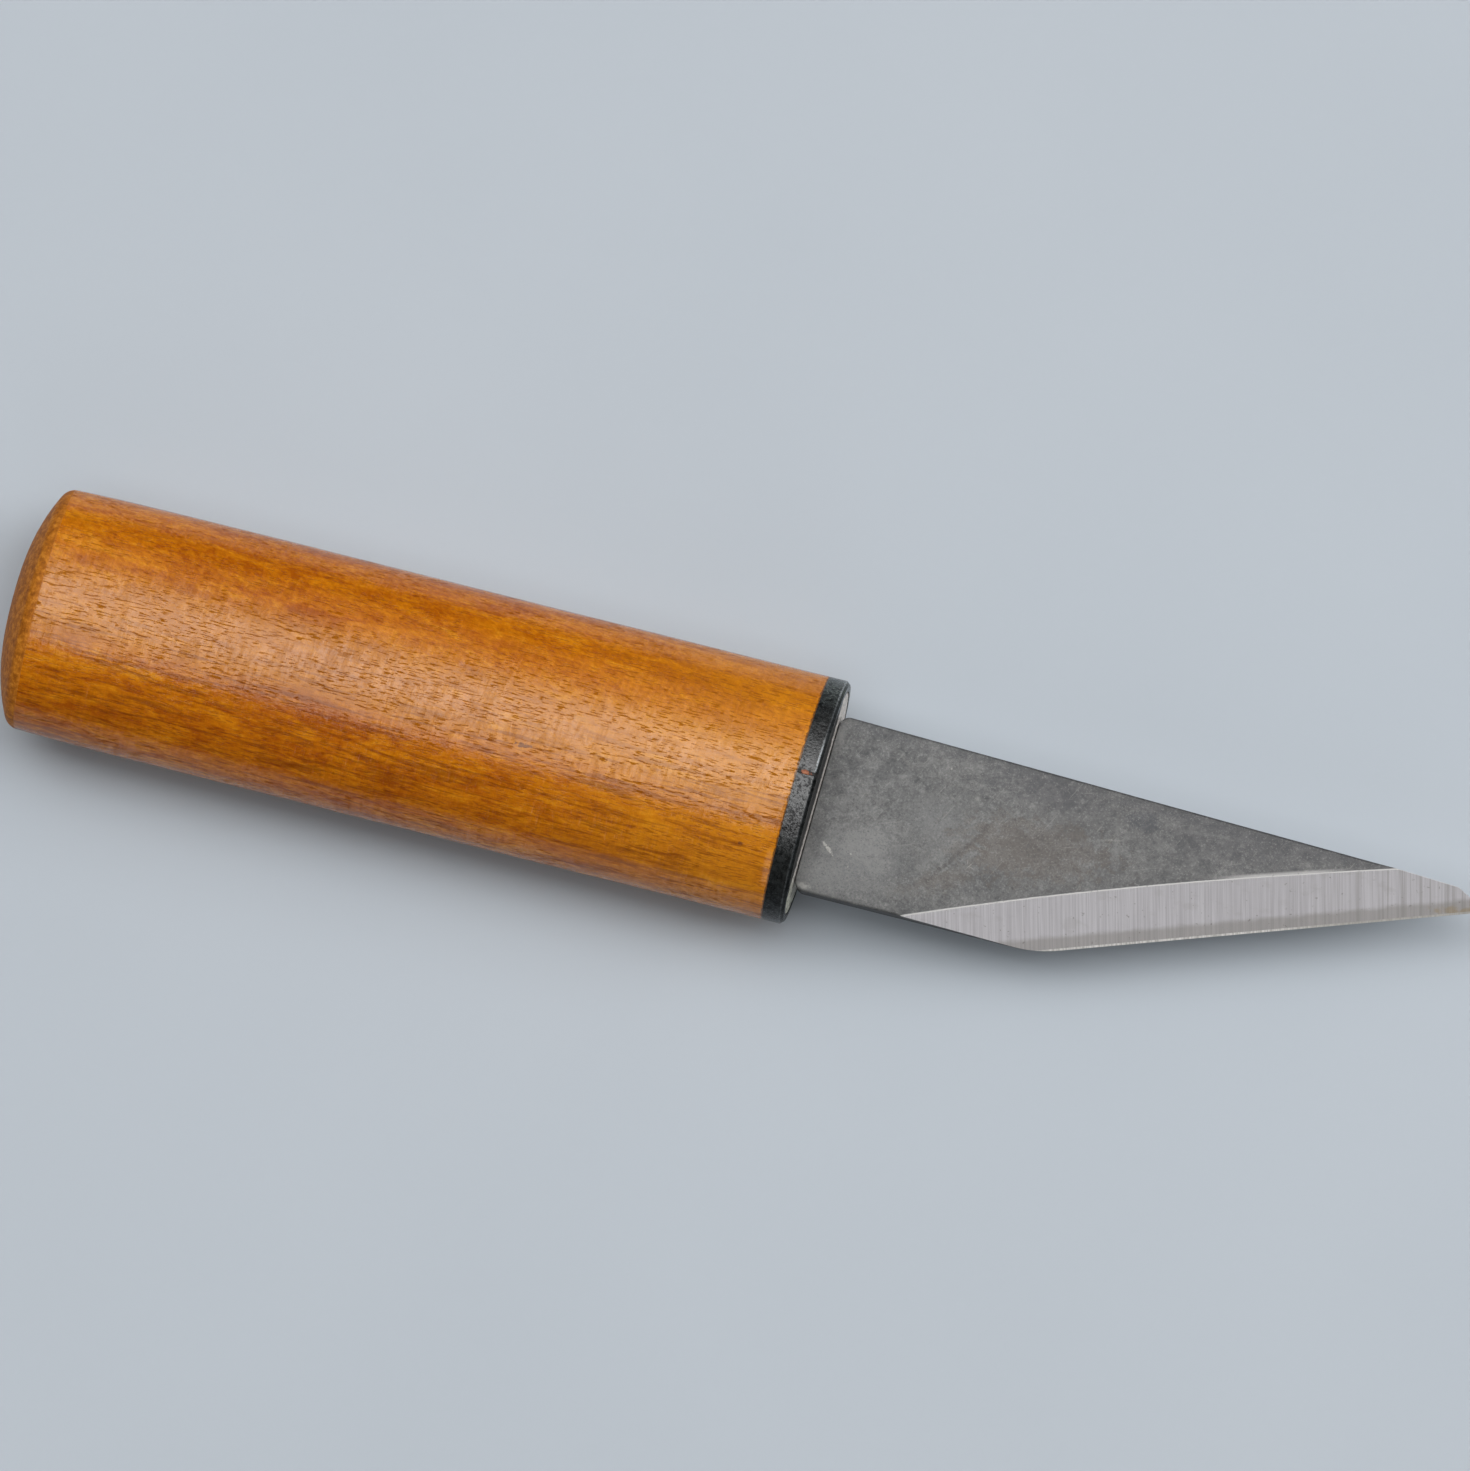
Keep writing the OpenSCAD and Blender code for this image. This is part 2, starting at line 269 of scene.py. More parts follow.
def piece(name, shells, materials, node, paint=None, hard_angle=HARD_ANGLE, merge=MERGE):
    """One object from (points, faces) shells. paint(face centre, normal) picks each face's material."""
    bm = bmesh.new()
    for points, faces in shells:
        verts = [bm.verts.new(p) for p in points]
        for face in faces:
            bm.faces.new([verts[i] for i in face])
    bmesh.ops.remove_doubles(bm, verts=bm.verts, dist=merge)
    bmesh.ops.dissolve_degenerate(bm, edges=bm.edges, dist=merge)
    bmesh.ops.recalc_face_normals(bm, faces=bm.faces)
    for face in bm.faces:
        face.smooth = True
        if paint:
            face.material_index = paint(face.calc_center_median(), face.normal)
    for edge in bm.edges:
        if len(edge.link_faces) == 2:
            one, other = edge.link_faces
            same_paint = one.material_index == other.material_index
            edge.smooth = same_paint and edge.calc_face_angle(0) < radians(hard_angle)
    for vert in bm.verts:
        vert.co = skewed(vert.co)
    mesh = bpy.data.meshes.new(name)
    bm.to_mesh(mesh)
    bm.free()
    for material in materials:
        mesh.materials.append(material)
    made = new_object(name, mesh)
    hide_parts(node)
    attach(made, "root")


# Shader building

# How far a ragged noise moves a blob's edge, as a share of its size
RAGGED_REACH = 2.5


def rgba(colour):
    """Colour or grey with an alpha of 1."""
    return (*colour, 1) if isinstance(colour, tuple) else (colour, colour, colour, 1)


class Shader:
    """A material and short ways to add nodes to it, all in the knife's own frame."""

    def __init__(self, name):
        self.material = bpy.data.materials.new(name)
        self.material.use_nodes = True
        self.tree = self.material.node_tree
        self.surface = self.tree.nodes["Principled BSDF"]
        self.place = self.tree.nodes.new("ShaderNodeTexCoord").outputs["Object"]

    def feed(self, socket, value):
        """Links a socket to another, or gives it a number, vector, grey or colour."""
        if isinstance(value, bpy.types.NodeSocket):
            self.tree.links.new(value, socket)
        elif socket.type == "RGBA":
            socket.default_value = rgba(value)
        else:
            socket.default_value = value

    def add(self, kind, inputs, **settings):
        """New node with its settings, its inputs fed by name or number."""
        node = self.tree.nodes.new(kind)
        for key, value in settings.items():
            setattr(node, key, value)
        for key, value in inputs.items():
            self.feed(node.inputs[key], value)
        return node

    def math(self, operation, a, b=0.0, clamp=False):
        """Sum, product or other operation on two values."""
        return self.add("ShaderNodeMath", {0: a, 1: b}, operation=operation, use_clamp=clamp).outputs[0]

    def times(self, a, b):
        """Product of two values."""
        return self.math("MULTIPLY", a, b)

    def swing(self, value, reach):
        """A noise scaled to swing about zero."""
        return self.times(self.math("SUBTRACT", value, 0.5), reach)

    def total(self, *parts):
        """Sum of (value, weight) parts."""
        result = None
        for value, weight in parts:
            part = self.times(value, weight)
            result = part if result is None else self.math("ADD", result, part)
        return result

    def vector(self, operation, a, b=(0, 0, 0)):
        """Node for an operation on two vectors."""
        return self.add("ShaderNodeVectorMath", {0: a, 1: b}, operation=operation)

    def mapped(self, place, kind, shift=(0, 0, 0), turn=0, scale=(1, 1, 1)):
        """Place scaled, turned about Z and shifted, or the other way round by the kind TEXTURE."""
        inputs = {"Vector": place, "Location": shift, "Rotation": (0, 0, radians(turn)), "Scale": scale}
        return self.add("ShaderNodeMapping", inputs, vector_type=kind).outputs["Vector"]

    def noise(self, scale, detail=3, rough=0.5, turn=0, shift=(0, 0, 0), distort=0):
        """Noise turned about Z, its scale in steps a millimetre as one number or one for each axis."""
        scales = scale if isinstance(scale, tuple) else (scale, scale, scale)
        turned = self.mapped(self.place, "TEXTURE", turn=turn)
        sized = self.mapped(turned, "POINT", shift, scale=[s / MM for s in scales])
        inputs = {"Vector": sized, "Scale": 1, "Detail": detail, "Roughness": rough, "Distortion": distort}
        return self.add("ShaderNodeTexNoise", inputs).outputs["Fac"]

    def ramp(self, value, *stops):
        """Colours or greys at rising positions, each stop (position, colour or grey)."""
        node = self.add("ShaderNodeValToRGB", {"Fac": value})
        elements = node.color_ramp.elements
        while len(elements) < len(stops):
            elements.new(0.5)
        for element, (position, colour) in zip(elements, stops):
            element.position = position
            element.color = rgba(colour)
        return node.outputs["Color"]

    def mix(self, share, a, b, blend="MIX"):
        """Colour a, and b over it by the share."""
        node = self.add("ShaderNodeMix", {0: share, 6: a, 7: b}, data_type="RGBA", blend_type=blend)
        return node.outputs[2]

    def over(self, base, *layers):
        """The base under layers of (colour, mask, share), each seen where its mask is 1, by its share."""
        for colour, mask, share in layers:
            base = self.mix(self.times(mask, share), base, colour)
        return base

    def fade(self, value, zero_at, one_at):
        """0 to 1 in a smooth step as the value goes from zero_at to one_at, which may be the lower."""
        inputs = {"Value": value, "From Min": zero_at, "From Max": one_at}
        return self.add("ShaderNodeMapRange", inputs, interpolation_type="SMOOTHSTEP").outputs["Result"]

    def beyond(self, point, direction):
        """Distance past a plane through a point, square to a direction."""
        away = self.vector("SUBTRACT", self.place, point).outputs["Vector"]
        return self.vector("DOT_PRODUCT", away, Vector(direction).normalized()).outputs["Value"]

    def along(self, x, skew=0):
        """Distance towards the tip from x, measured square or with the ferrule's lean."""
        return self.beyond((x, 0, 0), (1, -skew, 0))

    def across(self, y):
        """Distance towards the spine side from y."""
        return self.beyond((0, y, 0), (0, 1, 0))

    def blob(self, centre, size, turn=0, soft=0.5, ragged=None):
        """1 inside an ellipse on the knife's plan, 0 outside, with soft as the share that fades.

        Its centre, from the ferrule's front face and the axis, and its half lengths are in millimetres.
        Ragged is a noise that moves its edge.
        """
        middle = (MOUTH_X + centre[0] * MM, centre[1] * MM, 0)
        placed = self.mapped(self.place, "TEXTURE", middle, turn, (size[0] * MM, size[1] * MM, 1))
        flat = self.vector("MULTIPLY", placed, (1, 1, 0)).outputs["Vector"]
        reach = self.vector("LENGTH", flat).outputs["Value"]
        if ragged is not None:
            reach = self.math("ADD", reach, self.swing(ragged, RAGGED_REACH))
        return self.fade(reach, 1, 1 - soft)

    def finished(self, bumps, **inputs):
        """The material, with bumps as (height, depth in metres) and inputs by name, _ for a space."""
        if bumps:
            bump = {"Strength": 1, "Distance": 1, "Height": self.total(*bumps)}
            inputs["Normal"] = self.add("ShaderNodeBump", bump).outputs["Normal"]
        for key, value in inputs.items():
            self.feed(self.surface.inputs[key.replace("_", " ")], value)
        return self.material


def wood_material():
    """Orange-brown wood under a glossy lacquer: slanted figure, dark streaks, pores, a cross ripple, a
    painted highlight band and painted shade at the ring.
    """
    s = Shader("lacquered_wood")
    low_side = s.fade(s.beyond((0, 0, 0), (0, -1, 0)), *WOOD_LOW_FADE)
    broad = s.noise((0.035, 0.12, 0.12), 2, shift=(3.1, 0.4, 7.2))
    figure = s.noise((0.2, 0.8, 0.8), 4, 0.62, distort=0.8, turn=-5)
    high_mottle = s.noise((1.1, 2.6, 2.6), 4, 0.7, distort=0.3, turn=-30)
    low_mottle = s.noise((0.9, 2.6, 2.6), 4, 0.7, distort=0.3, turn=3)
    mottle = s.mix(low_side, high_mottle, low_mottle)
    fibre = s.noise((1.8, 4.5, 4.5), rough=0.65)
    wood = s.ramp(
        s.total((broad, 0.22), (figure, 0.38), (mottle, 0.32), (fibre, 0.08)),
        (0.41, (0.38, 0.084, 0.0003)),
        (0.47, (0.49, 0.132, 0.0006)),
        (0.53, (0.59, 0.18, 0.0015)),
        (0.6, (0.7, 0.255, 0.007)),
    )
    # Painted highlight: a paler, yellower band along the middle of the upper side, where the lacquer's
    # highlight lies
    painted_highlight_band = s.fade(s.math("ABSOLUTE", s.across(WOOD_HIGHLIGHT_Y)), *WOOD_HIGHLIGHT_FADE)
    streak = s.noise((0.13, 1.9, 1.9), 4, 0.6, distort=0.5, turn=-2, shift=(4, 9, 1))
    streak_share = s.math("ADD", s.times(low_side, 0.38), 0.13)
    wood = s.over(
        wood,
        ((0.6, 0.265, 0.008), painted_highlight_band, 0.35),
        ((0.74, 0.31, 0.02), s.fade(s.along(WOOD_X), *WOOD_WARM_FADE), 0.3),
        ((0.17, 0.032, 0.001), s.fade(streak, 0.5, 0.62), streak_share),
    )
    ripple = s.noise((1.9, 0.42, 0.42), 2, 0.6, turn=-6, distort=0.3)
    ripple_patch = s.noise((0.12, 0.3, 0.3), 2, shift=(5, 5, 5))
    ripple = s.mix(s.fade(ripple_patch, 0.35, 0.55), 0.5, ripple)
    wood = s.mix(0.5, wood, s.ramp(ripple, (0.35, 0.8), (0.6, 1.0)), "MULTIPLY")
    cross = s.noise((5, 0.9, 0.9), 2, 0.6, turn=-4)
    wood = s.mix(0.3, wood, s.ramp(cross, (0.35, 0.75), (0.6, 1.0)), "MULTIPLY")
    pore_field = s.noise((0.95, 7.5, 7.5), 1, 0.4)
    pore_patch = s.noise((0.1, 0.5, 0.5), 2, shift=(9, 2, 5))
    pores = s.times(s.fade(pore_field, 0.575, 0.625), s.fade(pore_patch, 0.3, 0.5))
    wood = s.over(wood, ((0.16, 0.035, 0.002), pores, 0.5))
    end = s.fade(s.along(BUTT_X), *WOOD_END_FADE)
    end_grain = s.ramp(
        s.noise(1.6, 5, 0.7),
        (0.36, (0.24, 0.068, 0.003)),
        (0.5, (0.4, 0.125, 0.006)),
        (0.64, (0.57, 0.21, 0.02)),
    )
    wood = s.mix(end, wood, end_grain)
    for centre, size in (((-5.75, -6.64), (0.3, 0.22)), ((-29.2, -2.6), (0.9, 0.35))):
        mark = s.blob(centre, size, soft=0.6, ragged=s.noise(3))
        wood = s.over(wood, ((0.1, 0.03, 0.012), mark, 0.7))
    # Painted shade: a dark, uneven line on the wood along its joint with the ring
    gap_shade = s.math("ADD", s.along(WOOD_X, SKEW), s.swing(s.noise(2), 0.4 * MM))
    wood = s.over(wood, ((0.035, 0.02, 0.012), s.fade(gap_shade, *WOOD_GAP_SHADE_FADE), 0.75))
    peel = s.noise((2.6, 3.6, 3.6), 2, 0.6)
    gloss = s.ramp(fibre, (0.35, 0.13), (0.65, 0.2))
    shine = s.ramp(ripple, (0.38, 0.34), (0.6, 0.62))
    bumps = [(pores, -0.006 * MM), (fibre, 0.006 * MM), (ripple, 0.05 * MM)]
    bumps += [(cross, 0.01 * MM), (peel, 0.016 * MM), (mottle, 0.003 * MM)]
    return s.finished(
        bumps,
        Base_Color=wood,
        IOR=1.55,
        Roughness=s.mix(end, s.mix(pores, gloss, 0.3), 0.55),
        Specular_IOR_Level=s.mix(end, s.mix(pores, shine, 0.02), 0.15),
    )


def black_steel_material():
    """Blackened steel strip, glossy and pitted, with a painted glint along a part of its front edge and a
    painted reflection on its top corner.
    """
    s = Shader("black_steel")
    mottle = s.noise(1.3, 5, 0.7)
    grain = s.noise(3.6, rough=0.65)
    steel = s.ramp(mottle, (0.4, (0.003, 0.0035, 0.0035)), (0.62, (0.014, 0.016, 0.016)))
    top_corner_reflection = s.fade(s.across(HALF_W), *RING_REFLECTION_FADE)
    # Painted reflection: a grey-green tint on the top corner of the ring
    steel = s.over(steel, ((0.045, 0.055, 0.045), top_corner_reflection, s.fade(grain, 0.35, 0.65)))
    # Painted glint: a light steel colour along a part of the front edge, strongest above the seam and at
    # the top corner
    front_edge = s.along(MOUTH_X - RING_CHAMFER - RING_GLINT_IN, SKEW)
    painted_glint = s.fade(s.math("ABSOLUTE", front_edge), *RING_GLINT_FADE)
    above_seam = s.blob((-0.4, 3.6), (1, 2.2))
    glint_share = s.total((above_seam, 0.7), (top_corner_reflection, 0.3))
    painted_glint = s.times(painted_glint, s.math("ADD", glint_share, 0.06))
    painted_glint = s.times(painted_glint, s.fade(grain, 0.3, 0.55))
    pits = s.fade(s.total((grain, 0.6), (mottle, 0.4)), 0.53, 0.43)
    smooth = s.blob((-0.4, 6), (2, 4.2), soft=0.3)
    sheen = s.mix(s.math("SUBTRACT", 0.75, s.times(smooth, 0.4)), 1.0, s.mix(pits, 1.0, 0.06))
    sheen = s.over(
        sheen,
        (0.1, s.fade(s.across(0), *RING_LOW_FADE), 0.75),
        (0.02, s.fade(front_edge, *RING_FRONT_FADE), 0.85),
    )
    # The base colour carries the painted glint over the blackened steel
    return s.finished(
        [(grain, 0.055 * MM), (mottle, 0.05 * MM)],
        Base_Color=s.mix(painted_glint, steel, (0.45, 0.48, 0.5)),
        Roughness=s.ramp(grain, (0.35, 0.14), (0.65, 0.28)),
        Specular_IOR_Level=sheen,
    )


def plate_material():
    """Ground steel plate with parallel scratches, a little warm, blackened along its upper edge."""
    s = Shader("ground_steel")
    lines = s.noise((0.5, 0.35, 9), rough=0.7)
    stain = s.noise(2.4, 4, 0.65)
    grey = s.ramp(lines, (0.3, (0.74, 0.68, 0.63)), (0.7, (0.95, 0.89, 0.83)))
    low_end = s.fade(s.across(0), *PLATE_LOW_FADE)
    grey = s.mix(low_end, grey, (0.6, 0.6, 0.5))
    spotted = s.math("ADD", s.times(low_end, 0.35), 0.5)
    grey = s.over(grey, ((0.1, 0.095, 0.08), s.fade(stain, 0.48, 0.58), spotted))
    height = s.math("ADD", s.beyond((0, 0, AXIS_Z), (0, 0, 1)), s.swing(stain, 2 * MM))
    grey = s.mix(s.fade(height, *PLATE_BLACK_FADE), grey, 0.01)
    return s.finished([(lines, 0.01 * MM)], Base_Color=grey, Roughness=0.5)


def braze_material():
    """Braze blackened by heat, with dull copper showing on the drop beside the seam."""
    s = Shader("braze")
    spots = s.noise(1.6, 4, 0.6)
    copper = s.ramp(spots, (0.4, (0.2, 0.055, 0.022)), (0.6, (0.34, 0.12, 0.05)))
    dark = s.ramp(spots, (0.4, 0.004), (0.65, (0.02, 0.014, 0.01)))
    drop = s.blob((-1.25, 1.72), (0.6, 0.34), soft=0.3, ragged=spots)
    colour = s.mix(drop, dark, copper)
    return s.finished([(spots, 0.02 * MM)], Base_Color=colour, Metallic=0.2, Roughness=0.5)


def scale_material():
    """Dark forge scale on the crowned face, with stains, flakes and scratches, worn off along the ridge,
    and painted shade along its root.
    """
    s = Shader("forge_scale")
    patch = s.noise((0.16, 0.2, 0.2), 4, 0.6, shift=(2.3, 0.7, 0))
    cloud = s.noise((0.95, 1.05, 1.05), 5, 0.68, distort=0.4)
    grain = s.noise(3.4, rough=0.7)
    base = s.ramp(
        s.total((patch, 0.32), (cloud, 0.38), (grain, 0.3)),
        (0.39, (0.055, 0.056, 0.0565)),
        (0.5, (0.09, 0.091, 0.0905)),
        (0.61, (0.14, 0.141, 0.139)),
    )
    brown, slate, dark = (0.102, 0.085, 0.071), (0.046, 0.051, 0.061), (0.058, 0.059, 0.065)
    light, pale, bright = (0.142, 0.144, 0.144), (0.19, 0.192, 0.187), (0.42, 0.41, 0.38)
    streak = (0.052, 0.048, 0.045)
    # Each stain: centre and half lengths as in blob, turn, share, colour, soft share and ragged noise
    stains = (
        ((5.5, -5), (6.5, 4.5), 10, 0.8, light, 1, cloud),
        ((2.2, -7), (4, 2.6), 0, 0.5, pale, 0.8, cloud),
        ((12.5, 1), (4.5, 3), 0, 0.7, light, 1, cloud),
        ((22, 6.5), (9, 2.8), -2, 0.85, dark, 1, cloud),
        ((43, 6), (12, 4), 6, 0.8, dark, 1, cloud),
        ((14, -4.6), (6, 1.6), 25, 0.5, brown, 0.8, cloud),
        ((22.3, 0.4), (9.5, 3.7), 6, 0.65, brown, 0.45, cloud),
        ((20, -0.6), (6, 2), 12, 0.3, brown, 0.8, cloud),
        ((32.3, 6.2), (2.4, 1.3), 10, 0.7, slate, 0.7, cloud),
        ((5.6, -3), (2.6, 1.9), 20, 0.55, pale, 0.25, cloud),
        ((7.3, -4.6), (1.2, 0.9), 0, 0.45, pale, 0.3, cloud),
        ((2.4, -3.4), (0.9, 1.9), -12, 0.4, pale, 0.3, cloud),
        ((1.9, -6.2), (0.5, 1.2), -20, 0.4, pale, 0.6, cloud),
        ((0.9, -8.5), (0.9, 0.4), 0, 0.5, bright, 0.8, grain),
        ((0.8, 7.2), (0.5, 1.6), 0, 0.5, pale, 0.7, grain),
        ((30.2, 3), (0.4, 3.2), 14, 0.35, pale, 0.8, grain),
        ((29.5, 3.4), (1.5, 0.18), 14, 0.3, bright, 0.8, grain),
        ((13.4, -1.9), (5.3, 0.7), 55, 0.35, pale, 0.8, cloud),
        ((14.4, -2.6), (5.4, 0.35), 55, 0.55, streak, 0.7, cloud),
        ((40.5, 6.5), (4.6, 0.3), 6, 0.35, pale, 0.8, cloud),
        ((2.3, -4.3), (0.9, 0.2), -41, 0.9, bright, 0.4, grain),
        ((4.65, -4.3), (0.14, 0.14), 0, 0.6, bright, 0.6, grain),
        ((4.7, -5.6), (0.1, 0.14), 0, 0.4, bright, 0.6, grain),
        ((15.6, 4.2), (0.4, 0.4), 0, 0.3, bright, 1, grain),
        ((16.5, -2.5), (0.55, 0.07), 55, 0.4, bright, 0.6, None),
        ((16.7, -2.7), (0.4, 0.06), -20, 0.3, bright, 0.6, None),
        ((16.2, -2.2), (0.35, 0.06), 95, 0.35, bright, 0.6, None),
        ((12.3, 6.5), (0.12, 0.12), 0, 0.5, bright, 0.6, grain),
        ((24.2, 7.9), (0.3, 0.12), 20, 0.4, bright, 0.6, grain),
        ((28.6, 7.7), (0.25, 0.12), 30, 0.4, bright, 0.6, grain),
    )
    for centre, size, turn, share, colour, soft, ragged in stains:
        base = s.over(base, (colour, s.blob(centre, size, turn, soft, ragged), share))

    spine_turn = radians(SPINE_ANGLE)
    spine = s.beyond((MOUTH_X, -LOW_Y, 0), (sin(spine_turn), cos(spine_turn), 0))
    spine_share = s.math("ADD", s.fade(s.along(MOUTH_X), *SPINE_TIP_FADE), 0.6, clamp=True)
    flake = s.noise((0.42, 0.5, 0.5), 6, 0.62, distort=0.6, shift=(8, 1, 0))
    texture = s.total((cloud, 0.45), (grain, 0.55))
    tangle = s.noise(1.3, rough=0.6, distort=2.2, shift=(0, 2, 8))
    tangle = s.fade(s.math("ABSOLUTE", s.math("SUBTRACT", tangle, 0.5)), 0.022, 0.004)
    dust = s.noise(5, 1, shift=(1, 6, 0))
    hair = s.noise((0.25, 6, 6), 2, turn=62, distort=0.6)
    scratch = s.noise((0.3, 7, 7), 2, turn=20, distort=0.5, shift=(3, 3, 0))
    lines = s.math("MAXIMUM", s.fade(hair, 0.67, 0.73), s.fade(scratch, 0.68, 0.74))
    base = s.over(
        base,
        ((0.052, 0.054, 0.06), s.times(s.fade(spine, *SPINE_FADE), spine_share), 0.85),
        # Painted shade: a dark, speckled line along the blade's root at the ferrule's plate
        ((0.02, 0.019, 0.018), s.fade(s.along(MOUTH_X, SKEW), *ROOT_SHADE_FADE), s.fade(grain, 0.35, 0.5)),
        ((0.175, 0.171, 0.167), s.fade(flake, 0.5, 0.53), 0.2),
        ((0.2, 0.196, 0.19), s.fade(texture, 0.53, 0.66), 0.34),
        ((0.042, 0.042, 0.045), s.fade(texture, 0.49, 0.36), 0.36),
        ((0.048, 0.046, 0.047), s.fade(s.along(MOUTH_X), *FAR_HALF_FADE), 0.24),
        ((0.21, 0.196, 0.178), s.times(tangle, s.fade(patch, 0.38, 0.58)), 0.34),
        ((0.24, 0.235, 0.225), s.fade(dust, 0.62, 0.7), 0.3),
        ((0.035, 0.035, 0.037), s.fade(dust, 0.38, 0.3), 0.4),
        ((0.24, 0.235, 0.22), lines, 0.3),
    )

    off_ridge = s.math("SUBTRACT", s.beyond(bevel_point(), bevel_normal()), s.swing(cloud, 0.06 * MM))
    wide_band = s.times(s.blob((46.5, 4.9), (8, 3), 15, 0.6), 0.6)
    worn_wide = s.times(s.fade(off_ridge, *RIDGE_WIDE_FADE), wide_band)
    worn = s.math("MAXIMUM", s.fade(off_ridge, *RIDGE_FADE), worn_wide)
    base = s.mix(worn, base, (0.46, 0.45, 0.44))

    pitted = s.noise(1.8, 4, 0.7, shift=(6, 0, 3))
    base = s.over(base, ((0.05, 0.05, 0.052), s.fade(pitted, 0.4, 0.32), 0.35))
    return s.finished(
        [(cloud, 0.03 * MM), (grain, 0.016 * MM), (lines, -0.003 * MM)],
        Base_Color=base,
        Metallic=0.15,
        Roughness=s.ramp(cloud, (0.35, 0.48), (0.65, 0.38)),
    )


def side_material():
    """Forged side faces, rough, in a dark grey that is partly painted shade, darker than the forged top."""
    s = Shader("forged_sides")
    cloud = s.noise((0.8, 0.8, 1.6), 5, 0.6)
    # Painted shade: the grey stays darker than the forged top
    grey = s.ramp(cloud, (0.3, 0.014), (0.7, (0.06, 0.058, 0.056)))
    return s.finished([(cloud, 0.03 * MM)], Base_Color=grey, Specular_IOR_Level=0.25, Roughness=0.5)


def ground_material():
    """Ground bevel over both layers, whose scratches run nearly square to the cutting edge.

    The hard steel below the weld is a little darker and yellower than the iron, with a soft border.
    """
    s = Shader("ground_bevel")
    fine = s.noise((6.5, 0.1, 0.1), 2, 0.6, turn=GRIND_ANGLE)
    coarse = s.noise((5, 0.06, 0.06), 1, turn=GRIND_ANGLE)
    patch = s.noise((0.35, 0.6, 0.6), 4, 0.6)
    towards_tip = s.fade(s.along(MOUTH_X), *BEVEL_TIP_FADE)
    lines = s.mix(towards_tip, s.total((fine, 0.8), (coarse, 0.2)), s.total((fine, 0.45), (coarse, 0.55)))
    iron = s.ramp(lines, (0.38, (0.58, 0.56, 0.58)), (0.62, (0.715, 0.695, 0.72)))
    steel = s.ramp(lines, (0.38, (0.43, 0.41, 0.405)), (0.62, (0.505, 0.482, 0.477)))
    above_weld = s.math("ADD", s.beyond((0, 0, WELD_Z), (0, 0, 1)), s.swing(patch, 0.5 * MM))
    metal = s.mix(s.fade(above_weld, *WELD_FADE), steel, iron)
    furrow = s.times(s.fade(coarse, 0.5, 0.38), towards_tip)
    stained = s.blob((64.5, 5.3), (3.2, 0.6), 8, 0.7, s.noise(1.2, 4))
    speck = s.noise(2.2, 2, shift=(7, 1, 0))
    metal = s.over(
        metal,
        ((0.36, 0.34, 0.31), furrow, 0.26),
        ((0.42, 0.4, 0.38), s.fade(patch, 0.55, 0.7), 0.2),
        ((0.42, 0.31, 0.16), stained, 0.5),
        ((0.2, 0.18, 0.16), s.fade(speck, 0.68, 0.74), 0.5),
    )
    return s.finished(
        [(fine, 0.015 * MM), (coarse, 0.015 * MM)],
        Base_Color=metal,
        Metallic=0.6,
        Roughness=s.ramp(lines, (0.4, 0.48), (0.6, 0.4)),
    )


def hone_material():
    """Honed micro-bevel, finer and brighter than the ground bevel."""
    s = Shader("honed_edge")
    lines = s.noise((6, 0.5, 0.5), rough=0.6, turn=GRIND_ANGLE)
    bright = s.ramp(lines, (0.38, (0.6, 0.58, 0.55)), (0.62, (0.86, 0.84, 0.81)))
    towards_tip = s.fade(s.along(MOUTH_X), *HONE_TIP_FADE)
    return s.finished(
        [(lines, 0.006 * MM)],
        Base_Color=s.over(bright, ((0.42, 0.4, 0.36), towards_tip, 0.6)),
        Metallic=0.6,
        Roughness=s.ramp(lines, (0.4, 0.4), (0.6, 0.3)),
    )


def back_material():
    """Flat back with wheel marks along the hollow and faint rub marks across."""
    s = Shader("honed_back")
    wheel = s.noise((0.06, 7, 7), rough=0.6)
    rub = s.noise((5, 0.4, 0.4), 2, turn=60)
    return s.finished(
        [(wheel, 0.004 * MM), (rub, 0.0004 * MM)],
        Base_Color=s.ramp(wheel, (0.3, (0.42, 0.41, 0.4)), (0.7, (0.62, 0.61, 0.59))),
        Metallic=1.0,
        Roughness=s.ramp(rub, (0.3, 0.26), (0.7, 0.32)),
    )


def adhesive_material():
    """Cured adhesive round the tang."""
    s = Shader("adhesive")
    cloud = s.noise(0.7, 4)
    brown = s.ramp(cloud, (0.3, (0.1, 0.055, 0.025)), (0.7, (0.19, 0.11, 0.05)))
    return s.finished([(cloud, 0.03 * MM)], Base_Color=brown, Roughness=0.5)


def floor_material():
    """Pale blue-grey surface, its shade uneven over some decimetres."""
    s = Shader("floor")
    shade = s.noise(0.02, 2)
    colour = s.ramp(shade, (0.3, (0.441, 0.487, 0.536)), (0.7, (0.455, 0.501, 0.55)))
    return s.finished([], Base_Color=colour, Roughness=0.6)


# Handle and ferrule

OVAL_STEPS = 192


def oval_point(x, inset, turn):
    """Point on the handle's oval section, set in from its outside. A turn of 0 is the spine side."""
    angle = radians(turn)
    return Vector((x, (HALF_W - inset) * cos(angle), AXIS_Z + (HALF_T - inset) * sin(angle)))


def turn_at(y):
    """Turn at which the handle's outside lies at y, on the upper side."""
    return degrees(acos(y / HALF_W))


def oval_loop(x, half_w, half_t):
    """Ellipse across the knife at x."""
    return [
        Vector((x, half_w * cos(a), AXIS_Z + half_t * sin(a)))
        for a in between(0, 2 * pi, OVAL_STEPS)
    ]


def wood_loop(x, half_w):
    """Ellipse at x in the handle's proportions."""
    return oval_loop(x, half_w, half_w * HALF_T / HALF_W)


def inset_loop(x, inset):
    """Ellipse at x, set in from the handle's outside."""
    return oval_loop(x, HALF_W - inset, HALF_T - inset)


